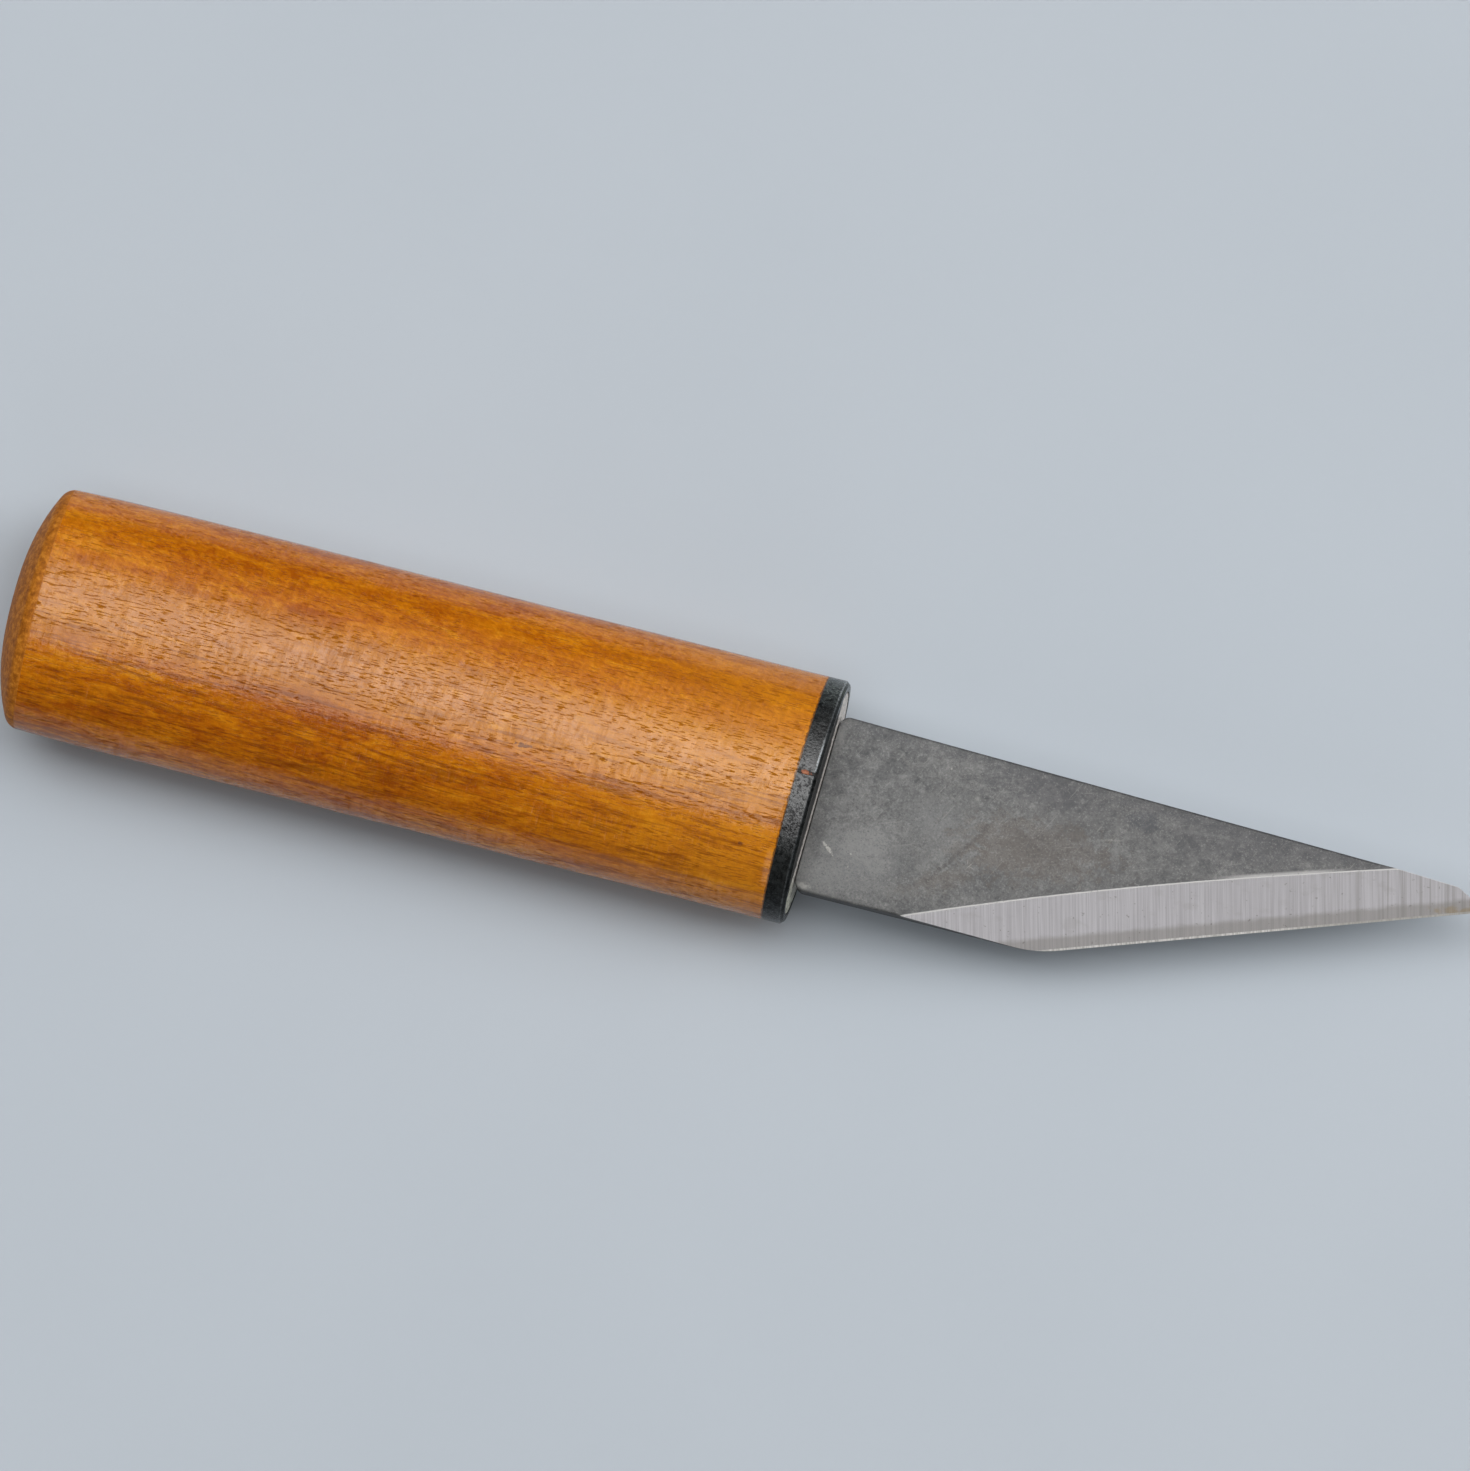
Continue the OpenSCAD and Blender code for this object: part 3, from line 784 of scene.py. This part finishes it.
def box_loop(x, half_w, half_t):
    """Rectangle with small corner radii, its points at about the turns of an oval loop's points."""
    flat_w, flat_t = half_w - SLOT_CORNER, half_t - SLOT_CORNER
    loop = []
    for a in between(0, 2 * pi, OVAL_STEPS):
        y, z = HALF_W * cos(a), HALF_T * sin(a)
        share = min(half_w / max(abs(y), 1e-12), half_t / max(abs(z), 1e-12))
        y, z = y * share, z * share
        over_y, over_z = abs(y) - flat_w, abs(z) - flat_t
        if over_y > 0 and over_z > 0:
            reach = hypot(over_y, over_z)
            y = copysign(flat_w + over_y / reach * SLOT_CORNER, y)
            z = copysign(flat_t + over_z / reach * SLOT_CORNER, z)
        loop.append(Vector((x, y, AXIS_Z + z)))
    return loop


def circles_meet(c1, r1, c2, r2):
    """Where two circles in a plane cross, on the right as seen from the first centre to the second."""
    apart = (c2 - c1).length
    unit = (c2 - c1) / apart
    along = (r1 * r1 - r2 * r2 + apart * apart) / (2 * apart)
    across = sqrt(r1 * r1 - along * along)
    return c1 + along * unit + across * Vector((unit.y, -unit.x))


def butt_outline():
    """Half width of the handle from the butt's flat to its straight side, as (place, half width)."""
    side_r = (DRAW_IN_LEN ** 2 + DRAW_IN ** 2) / (2 * DRAW_IN)
    side = Vector((BUTT_X + DRAW_IN_LEN, HALF_W - side_r))
    crown = Vector((BUTT_X + BUTT_CROWN_R, BUTT_FLAT_W / 2))
    rim = circles_meet(crown, BUTT_CROWN_R - BUTT_RIM_R, side, side_r - BUTT_RIM_R)

    def arc(centre, r, start, end, steps):
        """Arc with its turns in radians, 0 towards the butt, without its start."""
        turns = [lerp(start, end, (i + 1) / steps) for i in range(steps)]
        return [centre + r * Vector((-cos(t), sin(t))) for t in turns]

    crown_turn = atan2((rim - crown).y, -(rim - crown).x)
    side_turn = atan2((rim - side).y, -(rim - side).x)
    outline = [Vector((BUTT_X, BUTT_FLAT_W / 2))]
    outline += arc(crown, BUTT_CROWN_R, 0, crown_turn, 16)
    outline += arc(rim, BUTT_RIM_R, crown_turn, side_turn, 12)
    outline += arc(side, side_r, side_turn, pi / 2, 12)
    return outline


def worked_by_hand(point):
    """Draws the surface in by a few hundredths of a millimetre, as sanding by hand leaves it."""
    wave = noise.noise(point / HAND_WORK_PITCH + Vector((3, 7, 1)))
    centre = Vector((point.x, 0, AXIS_Z))
    out = (point - centre).normalized()
    return point - out * HAND_WORK * max(0, 0.5 + wave)


def make_handle(material):
    """Oval wooden handle with its crowned butt, the spigot for the ferrule and the tang's mortise."""
    outline = butt_outline()
    outline += [Vector((x, HALF_W)) for x in between(BUTT_X + DRAW_IN_LEN, WOOD_X, HANDLE_STEPS)[1:]]
    loops = [wood_loop(BUTT_X, outline[0].y * share) for share in (0.02, 0.25, 0.5, 0.75)]
    loops += [[worked_by_hand(q) for q in wood_loop(p.x, p.y)] for p in outline]
    spigot_inset = RING_WALL + SPIGOT_PLAY
    end_half_w, end_half_t = TANG_END_W / 2 + BEDDING_T, TANG_END_T / 2 + BEDDING_T
    loops += [
        inset_loop(WOOD_X - WOOD_EDGE_LEN, 0),
        inset_loop(WOOD_X, WOOD_EDGE_DROP),
        inset_loop(WOOD_X, spigot_inset),
        inset_loop(SPIGOT_X, spigot_inset),
        box_loop(SPIGOT_X, TANG_W / 2 + BEDDING_T, TANG_T / 2 + BEDDING_T),
        box_loop(BEDDING_END_X + TANG_CHAMFER, end_half_w, end_half_t),
        box_loop(BEDDING_END_X, end_half_w - TANG_CHAMFER, end_half_t),
    ]
    piece("oval_handle", [loft(loops)], [material], "handle")


def ring_profile():
    """Section of the ring as (place, inset from the outside), from the wood's side round to it again."""
    r = RING_EDGE_R
    profile = [(x, 0) for x in between(WOOD_X, MOUTH_X - RING_CHAMFER - r, 6)]
    for a in arc_turns(0, 45, 4):
        profile.append((MOUTH_X - RING_CHAMFER - r + r * sin(a), r * (1 - cos(a))))
    # 0.7 is about the cosine of 45 degrees, where the second arc leaves the chamfer
    for a in arc_turns(45, 90, 4):
        profile.append((MOUTH_X - r * (1 - sin(a)), RING_CHAMFER + r * (0.7 - cos(a))))
    profile += [(MOUTH_X, lerp(RING_CHAMFER + r, RING_WALL, share)) for share in (0.3, 1)]
    profile += [(lerp(MOUTH_X, WOOD_X, share), RING_WALL) for share in (0.5, 1)]
    return profile


def strip_loop(turn, sunk):
    """The ring's section at a turn, with its outside sunk a little."""
    return [
        oval_point(x, inset + (sunk if inset < RING_WALL / 2 else 0), turn)
        for x, inset in ring_profile()
    ]


def make_ring(material):
    """Steel strip bent round the handle; one end has sunk a little at the seam."""
    start, end = turn_at(SEAM_Y - SEAM_W / 2), turn_at(SEAM_Y + SEAM_W / 2) + 360
    turns = {lerp(start, end, i / RING_STEPS) for i in range(RING_STEPS + 1)}
    turns |= {end - SEAM_PITCH * i for i in range(SEAM_STEPS)}
    turns |= {start + SEAM_PITCH * i for i in range(SEAM_STEPS)}
    loops = []
    for turn in sorted(turns):
        from_end = radians(end - turn) * HALF_W
        loops.append(strip_loop(turn, SEAM_STEP * max(0, 1 - from_end / SEAM_STEP_LEN) ** 2))
    piece("ring", [loft(loops)], [material], "ferrule_ring")


def make_plate(material):
    """Oval plate with a slot for the tang."""
    front = MOUTH_X - PLATE_EDGE / 2
    slot_half = (TANG_W / 2 + SLOT_GAP, TANG_T / 2 + SLOT_GAP)
    outer = inset_loop(front, PLATE_INSET + PLATE_EDGE)
    inner = box_loop(front, *slot_half)
    loops = [inset_loop(PLATE_X, PLATE_INSET), inset_loop(front - PLATE_EDGE, PLATE_INSET), outer]
    loops += [[a.lerp(b, share) for a, b in zip(outer, inner)] for share in (0.2, 0.4, 0.6, 0.8)]
    loops += [inner, box_loop(PLATE_X, *slot_half)]
    piece("slotted_plate", [loft(loops, closed=True)], [material], "ferrule_plate")


def make_braze(material):
    """Braze round the plate, in the ring's seam, and the spot that spread beside the seam."""
    front = MOUTH_X - JOINT_SUNK
    joint = loft([
        inset_loop(PLATE_X, RING_WALL),
        inset_loop(front, RING_WALL),
        inset_loop(front - JOINT_SUNK, (RING_WALL + PLATE_INSET) / 2),
        inset_loop(front, PLATE_INSET),
        inset_loop(PLATE_X, PLATE_INSET),
    ], closed=True)
    start, end = turn_at(SEAM_Y + SEAM_W / 2), turn_at(SEAM_Y - SEAM_W / 2)
    loops = []
    for share in between(0, 1, 8) + [1]:
        dip = BRAZE_DIP_MORE * (1 - (2 * share - 1) ** 2) + BRAZE_DIP_ENDS
        loops.append(strip_loop(lerp(start, end, share), dip))
    piece("braze", [joint, loft(loops), spot()], [material], "ferrule_braze")


def spot():
    """Small drop of braze that spread over the ring beside the seam."""
    half_x, half_y, height, root = 0.42 * MM, 0.26 * MM, 0.035 * MM, 0.1 * MM
    middle_x, middle_y = WOOD_X + 0.75 * MM, SEAM_Y + 0.05 * MM
    loops = []
    for share in (1, 0.85, 0.6, 0.3, 0.02):
        inset = root if share == 1 else -height * (1 - share * share)
        loop = []
        for a in between(0, 2 * pi, 24):
            uneven = 1 + 0.25 * noise.noise(Vector((cos(a) * 1.5, sin(a) * 1.5, 4)))
            x = middle_x + half_x * share * uneven * cos(a)
            y = middle_y + half_y * share * uneven * sin(a)
            loop.append(oval_point(x, inset, turn_at(y)))
        loops.append(loop)
    return loft(loops)


# Blade

def shoulder_cut(x):
    """How far the round shoulder draws the blade's outline in."""
    share = max(0, 1 - (x - SHOULDER_X) / SHOULDER_R)
    return SHOULDER_R * (1 - sqrt(max(0, 1 - share * share)))


def low_side(x):
    """Lower side of the blade's outline: shoulder, straight side, heel and cutting edge."""
    arc_start = HEEL_X - HEEL_TANGENT
    if x < arc_start:
        return LOW_Y + shoulder_cut(x)
    if x < HEEL_X + HEEL_TANGENT * EDGE_COS:
        return LOW_Y + HEEL_R - sqrt(HEEL_R ** 2 - (x - arc_start) ** 2)
    return LOW_Y + (x - HEEL_X) * EDGE_SLOPE


def spine_side(x):
    """Upper side of the blade's outline: shoulder, spine and the short cut to the tip."""
    if x > CUT_X:
        return lerp(spine_line(CUT_X), TIP_Y, (x - CUT_X) / TIP_CUT_LEN)
    return spine_line(x) - shoulder_cut(x)


def edge_distance(x, y):
    """Distance in from the line of the cutting edge."""
    return ((y - LOW_Y) - (x - HEEL_X) * EDGE_SLOPE) * EDGE_COS


def y_at_distance(x, distance):
    """Y at a distance in from the line of the cutting edge."""
    return LOW_Y + (x - HEEL_X) * EDGE_SLOPE + distance / EDGE_COS


def crown_z(y):
    """Height of the crowned face."""
    return TOP_Z - CROWN_R + sqrt(CROWN_R ** 2 - y * y)


def bevel_z(x, y):
    """Height of the main bevel's plane."""
    return BACK_Z + HONE_H + (edge_distance(x, y) - HONE_W) * BEVEL_RISE


def top_z(x, y):
    """Height of the blade's upper surface: crowned face, main bevel or honed edge."""
    hone_z = BACK_Z + edge_distance(x, y) * HONE_RISE
    return max(BACK_Z, min(crown_z(y), bevel_z(x, y), hone_z))


def weld_z(x):
    """Height of the weld between iron and steel, which wanders a little along the blade."""
    along = (x - MOUTH_X) / MM
    return WELD_Z + WELD_WAVE * noise.noise(Vector((along * WELD_WAVES_PER_MM, 0.3, 2.1))) * NOISE_GAIN


def weld_y(x):
    """Where the weld comes out on the bevel."""
    return y_at_distance(x, HONE_W + (weld_z(x) - BACK_Z - HONE_H) / BEVEL_RISE)


def ridge_y(x):
    """Where the bevel meets the crowned face."""
    return solve(lambda y: bevel_z(x, y) - crown_z(y), LOW_Y * 2, -LOW_Y * 2)


BEVEL_START_X = solve(lambda x: low_side(x) - LOW_Y + ridge_y(x) - LOW_Y, SHOULDER_X + SHOULDER_R, HEEL_X)
RIDGE_END_X = solve(lambda x: ridge_y(x) - spine_side(x), HEEL_X, CUT_X)
IRON_END_X = solve(lambda x: weld_y(x) - spine_side(x), CUT_X, TIP_X)

# Steps on the sides of the iron's section
LOW_SIDE_STEPS = 3
SPINE_SIDE_STEPS = 4
WELD_STEPS = 12


def iron_section(x):
    """Section of the iron at x, as (y, z), from the weld's lower end round."""
    low, high = low_side(x), spine_side(x)
    weld = weld_z(x)
    start = clamp(weld_y(x), low, high)
    spine_r = CUT_EDGE_R
    if x < CUT_X:
        spine_r = BLADE_EDGE_R * clamp((RIDGE_END_X - x) / EDGE_RUN_OUT, 0.15, 1)
    spine_r = min(spine_r, max(0, top_z(x, high) - weld) * 0.4)
    low_r = clamp((BEVEL_START_X - x) * 0.5, 0, BLADE_EDGE_R)
    ridge = clamp(ridge_y(x), start + low_r, high - spine_r)
    low_top = top_z(x, start + low_r)
    high_top = top_z(x, high - spine_r)
    section = [(start, z) for z in between(weld, max(weld, low_top - low_r), LOW_SIDE_STEPS)]
    for a in arc_turns(0, 90, 4):
        section.append((start + low_r * (1 - cos(a)), max(weld, low_top - low_r * (1 - sin(a)))))
    section += [(y, top_z(x, y)) for y in between(start + low_r, ridge, 10)[1:]]
    section += [(y, top_z(x, y)) for y in between(ridge, high - spine_r, 32)]
    for a in arc_turns(0, 90, 5):
        z = max(weld, high_top - spine_r * (1 - cos(a)))
        section.append((high - spine_r * (1 - sin(a)), z))
    section += [(high, z) for z in between(max(weld, high_top - spine_r), weld, SPINE_SIDE_STEPS)[1:]]
    section += [(y, weld) for y in between(high, start, WELD_STEPS)]
    return section


def resampled(corners, counts):
    """Points along a closed outline of corners, with a count of points on each of its sides."""
    points = []
    for i, count in enumerate(counts):
        a, b = corners[i], corners[(i + 1) % len(corners)]
        points += [(lerp(a[0], b[0], k / count), lerp(a[1], b[1], k / count)) for k in range(count)]
    return points


def blade_stations(end):
    """Places along the blade, close together where its outline turns."""
    turns = [
        SHOULDER_X, SHOULDER_X + SHOULDER_R, BEVEL_START_X, HEEL_X - HEEL_TANGENT,
        HEEL_X + HEEL_TANGENT * EDGE_COS, RIDGE_END_X, CUT_X, IRON_END_X, TIP_X,
    ]
    turns = sorted(x for x in turns if x < end) + [end]
    stations = []
    for a, b in zip(turns, turns[1:]):
        pitch = FINE_PITCH if b - a < FINE_RUN else STATION_PITCH
        stations += between(a, b, max(4, ceil((b - a) / pitch)))
    return stations + [end]


def make_blade_body(scale, sides, ground, back):
    """Iron of the blade and the hidden tang in one forging."""
    middle_z = (TOP_Z + BACK_Z) / 2
    # Points on the tang's sides, as many in all as a section of the blade has
    counts = [LOW_SIDE_STEPS, 0, SPINE_SIDE_STEPS + 1, WELD_STEPS - 1]
    counts[1] = len(iron_section(SHOULDER_X)) - sum(counts)

    def tang_loop(x, half_w, half_t):
        """Rectangle across the tang."""
        low, top = middle_z - half_t, middle_z + half_t
        corners = [(-half_w, low), (-half_w, top), (half_w, top), (half_w, low)]
        return [Vector((x, y, z)) for y, z in resampled(corners, counts)]

    loops = [
        tang_loop(TANG_END_X, TANG_END_W / 2 - TANG_CHAMFER, TANG_END_T / 2),
        tang_loop(TANG_END_X + TANG_CHAMFER, TANG_END_W / 2, TANG_END_T / 2),
        tang_loop(MOUTH_X, TANG_W / 2, TANG_T / 2),
        tang_loop(SHOULDER_X, TANG_W / 2, TANG_T / 2),
    ]
    loops += [[Vector((x, y, z)) for y, z in iron_section(x)] for x in blade_stations(IRON_END_X)]
    on_scale, on_sides, on_ground, on_back = range(4)

    def paint(centre, normal):
        """Number of a face's material."""
        if centre.x < SHOULDER_X + TOUCH or abs(normal.z) < SIDE_RISE:
            return on_sides
        if normal.z < 0:
            return on_back
        return on_ground if centre.y < ridge_y(centre.x) and centre.x > BEVEL_START_X else on_scale

    materials = [scale, sides, ground, back]
    piece("forged_blade", [loft(loops)], materials, "blade_body", paint, merge=BLADE_MERGE)


def hollow_span(x):
    """Lower and upper side of the hollow that a wide wheel cuts in the back, or None where it is flat."""
    low = max(LOW_Y + HOLLOW_RIM, y_at_distance(x, HOLLOW_RIM))
    high = spine_line(x) - HOLLOW_RIM
    into = (x - MOUTH_X - HOLLOW_FROM_MOUTH) / HOLLOW_END_LEN
    if high <= low or into <= 0:
        return None
    half = (high - low) / 2
    if into < 1:
        half *= sqrt(1 - (1 - into) ** 2)
    middle = (low + high) / 2
    return middle - half, middle + half


def steel_section(x):
    """Section of the hard steel at x, as (y, z), from the back's lower end round."""
    low, high = low_side(x), spine_side(x)
    weld = weld_z(x)
    out = clamp(weld_y(x), low, high)
    hone = clamp(y_at_distance(x, HONE_W), low, out)

    def top(y):
        """Height of the upper side, on the bevels or under the weld."""
        return min(top_z(x, y), weld)

    section = [(low, z) for z in between(BACK_Z, top(low), 3)]
    for start, end, steps in ((low, hone, 3), (hone, out, 10), (out, high, 14)):
        section += [(y, top(y)) for y in between(start, end, steps)]
    section += [(high, z) for z in between(top(high), BACK_Z, 3)]
    hollow = hollow_span(x) or ((low + high) / 2, (low + high) / 2)
    hollow_low, hollow_high = (clamp(y, low, high) for y in hollow)
    full_half = -LOW_Y - HOLLOW_RIM
    half = (hollow_high - hollow_low) / 2
    middle = (hollow_high + hollow_low) / 2
    section += [(y, BACK_Z) for y in between(high, hollow_high, 4)]
    for y in between(hollow_high, hollow_low, 24):
        depth = HOLLOW_DEPTH * (half * half - (y - middle) ** 2) / full_half ** 2
        section.append((y, BACK_Z + max(0, depth)))
    section += [(y, BACK_Z) for y in between(hollow_low, low, 4)]
    return section


def make_cutting_steel(ground, sides, back, hone):
    """Hard steel with the lower part of the bevel, the honed edge and the hollow back."""
    loops = [[Vector((x, y, z)) for y, z in steel_section(x)] for x in blade_stations(TIP_X)]
    between_bevels = cos(radians((BEVEL_ANGLE + HONE_ANGLE) / 2))
    on_ground, on_sides, on_back, on_hone = range(4)

    def paint(_centre, normal):
        """Number of a face's material."""
        if abs(normal.z) < SIDE_RISE:
            return on_sides
        if normal.z < 0:
            return on_back
        return on_ground if normal.z > between_bevels else on_hone

    piece(
        "steel_layer", [loft(loops)], [ground, sides, back, hone], "cutting_steel", paint,
        hard_angle=BEVEL_HARD_ANGLE, merge=BLADE_MERGE,
    )


make_handle(wood_material())
make_ring(black_steel_material())
make_plate(plate_material())
make_braze(braze_material())
bevel = ground_material()
sides = side_material()
back = back_material()
make_blade_body(scale_material(), sides, bevel, back)
make_cutting_steel(bevel, sides, back, hone_material())
adhesive = adhesive_material()
for part_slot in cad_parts["tang_bedding"].material_slots:
    part_slot.material = adhesive

# Floor
FLOOR_HALF = 3
floor_corners = [(x * FLOOR_HALF, y * FLOOR_HALF, 0) for x, y in ((-1, -1), (1, -1), (1, 1), (-1, 1))]
floor_mesh = bpy.data.meshes.new("floor")
floor_mesh.from_pydata(floor_corners, [], [(0, 1, 2, 3)])
floor_mesh.materials.append(floor_material())
floor = new_object("floor", floor_mesh)

# Lights: a softbox overhead in strips that fade towards the spine side, a strip far past the tip, a
# reflector and a dim room


def panel(name, centre, size_x, size_y, radiance, tilt=0):
    """Glowing rectangle that faces down, or tilted about X by an angle in degrees."""
    lamp = bpy.data.lights.new(name, "AREA")
    lamp.shape = "RECTANGLE"
    lamp.size = size_x
    lamp.size_y = size_y
    lamp.energy = radiance * pi * size_x * size_y
    placed = new_object(name, lamp)
    placed.location = centre
    placed.rotation_euler = (radians(tilt), 0, 0)
    placed.visible_camera = False


LIGHT_HEIGHT = 2.2
# Each strip: its angles from overhead towards the spine side, its radiance, and its ends along X as
# shares of the height
LONG_SHARES = (-1.2, 1.7)
MEDIUM_SHARES = (-0.9, 1.1)
SHORT_SHARES = (-0.35, 0.3)
FAR_SHARES = (1, 2.4)
LIGHT_STRIPS = (
    (-22, 0, 2.15, SHORT_SHARES),
    (0, 5, 3.1, MEDIUM_SHARES),
    (5, 16, 3.2, LONG_SHARES),
    (16, 22, 3.25, LONG_SHARES),
    (22, 33, 1.8, LONG_SHARES),
    (33, 45, 0.7, LONG_SHARES),
    (45, 62, 0.25, LONG_SHARES),
    (22, 50, 4.3, FAR_SHARES),
)
REFLECTOR_PLACE = (0.36, -1.2, 0.8)
REFLECTOR_W = 0.5
REFLECTOR_H = 1.0
ROOM_STRENGTH = 0.05
for low_angle, high_angle, radiance, (low_share, high_share) in LIGHT_STRIPS:
    low_edge = LIGHT_HEIGHT * tan(radians(low_angle))
    high_edge = LIGHT_HEIGHT * tan(radians(high_angle))
    middle = (LIGHT_HEIGHT * (low_share + high_share) / 2, (low_edge + high_edge) / 2, LIGHT_HEIGHT)
    panel("softbox", middle, LIGHT_HEIGHT * (high_share - low_share), high_edge - low_edge, radiance)
panel("reflector", REFLECTOR_PLACE, REFLECTOR_W, REFLECTOR_H, 1.0, tilt=90)

world = bpy.data.worlds.new("room")
bpy.context.scene.world = world
world.use_nodes = True
room = world.node_tree.nodes["Background"]
room.inputs["Color"].default_value = (1, 1, 1, 1)
room.inputs["Strength"].default_value = ROOM_STRENGTH

# Camera: nearly straight above, leaning a little towards the tip and away from the spine
CAMERA_DISTANCE = 1.5
SENSOR_W = 36
IMAGE_SIDE = 1471
METRES_PER_PIXEL = 0.1002 * MM
VIEW_CENTRE = Vector((MOUTH_X - 9.7 * MM, 4.6 * MM, AXIS_Z))
LEAN_X = 0.084
LEAN_Y = -0.12
KNIFE_ROLL = 14.18
towards = Vector((LEAN_X, LEAN_Y, 1)).normalized()
level = Vector((cos(radians(KNIFE_ROLL)), sin(radians(KNIFE_ROLL)), 0))
right = (level - towards * level.dot(towards)).normalized()
up = towards.cross(right)
camera_data = bpy.data.cameras.new("camera")
camera_data.sensor_width = SENSOR_W
camera_data.lens = SENSOR_W * CAMERA_DISTANCE / METRES_PER_PIXEL / IMAGE_SIDE
camera_data.clip_end = 10
camera = new_object("camera", camera_data)
camera.matrix_world = Matrix((right, up, towards)).transposed().to_4x4()
camera.location = VIEW_CENTRE + towards * CAMERA_DISTANCE
bpy.context.scene.camera = camera
bpy.context.scene.view_settings.view_transform = "Standard"
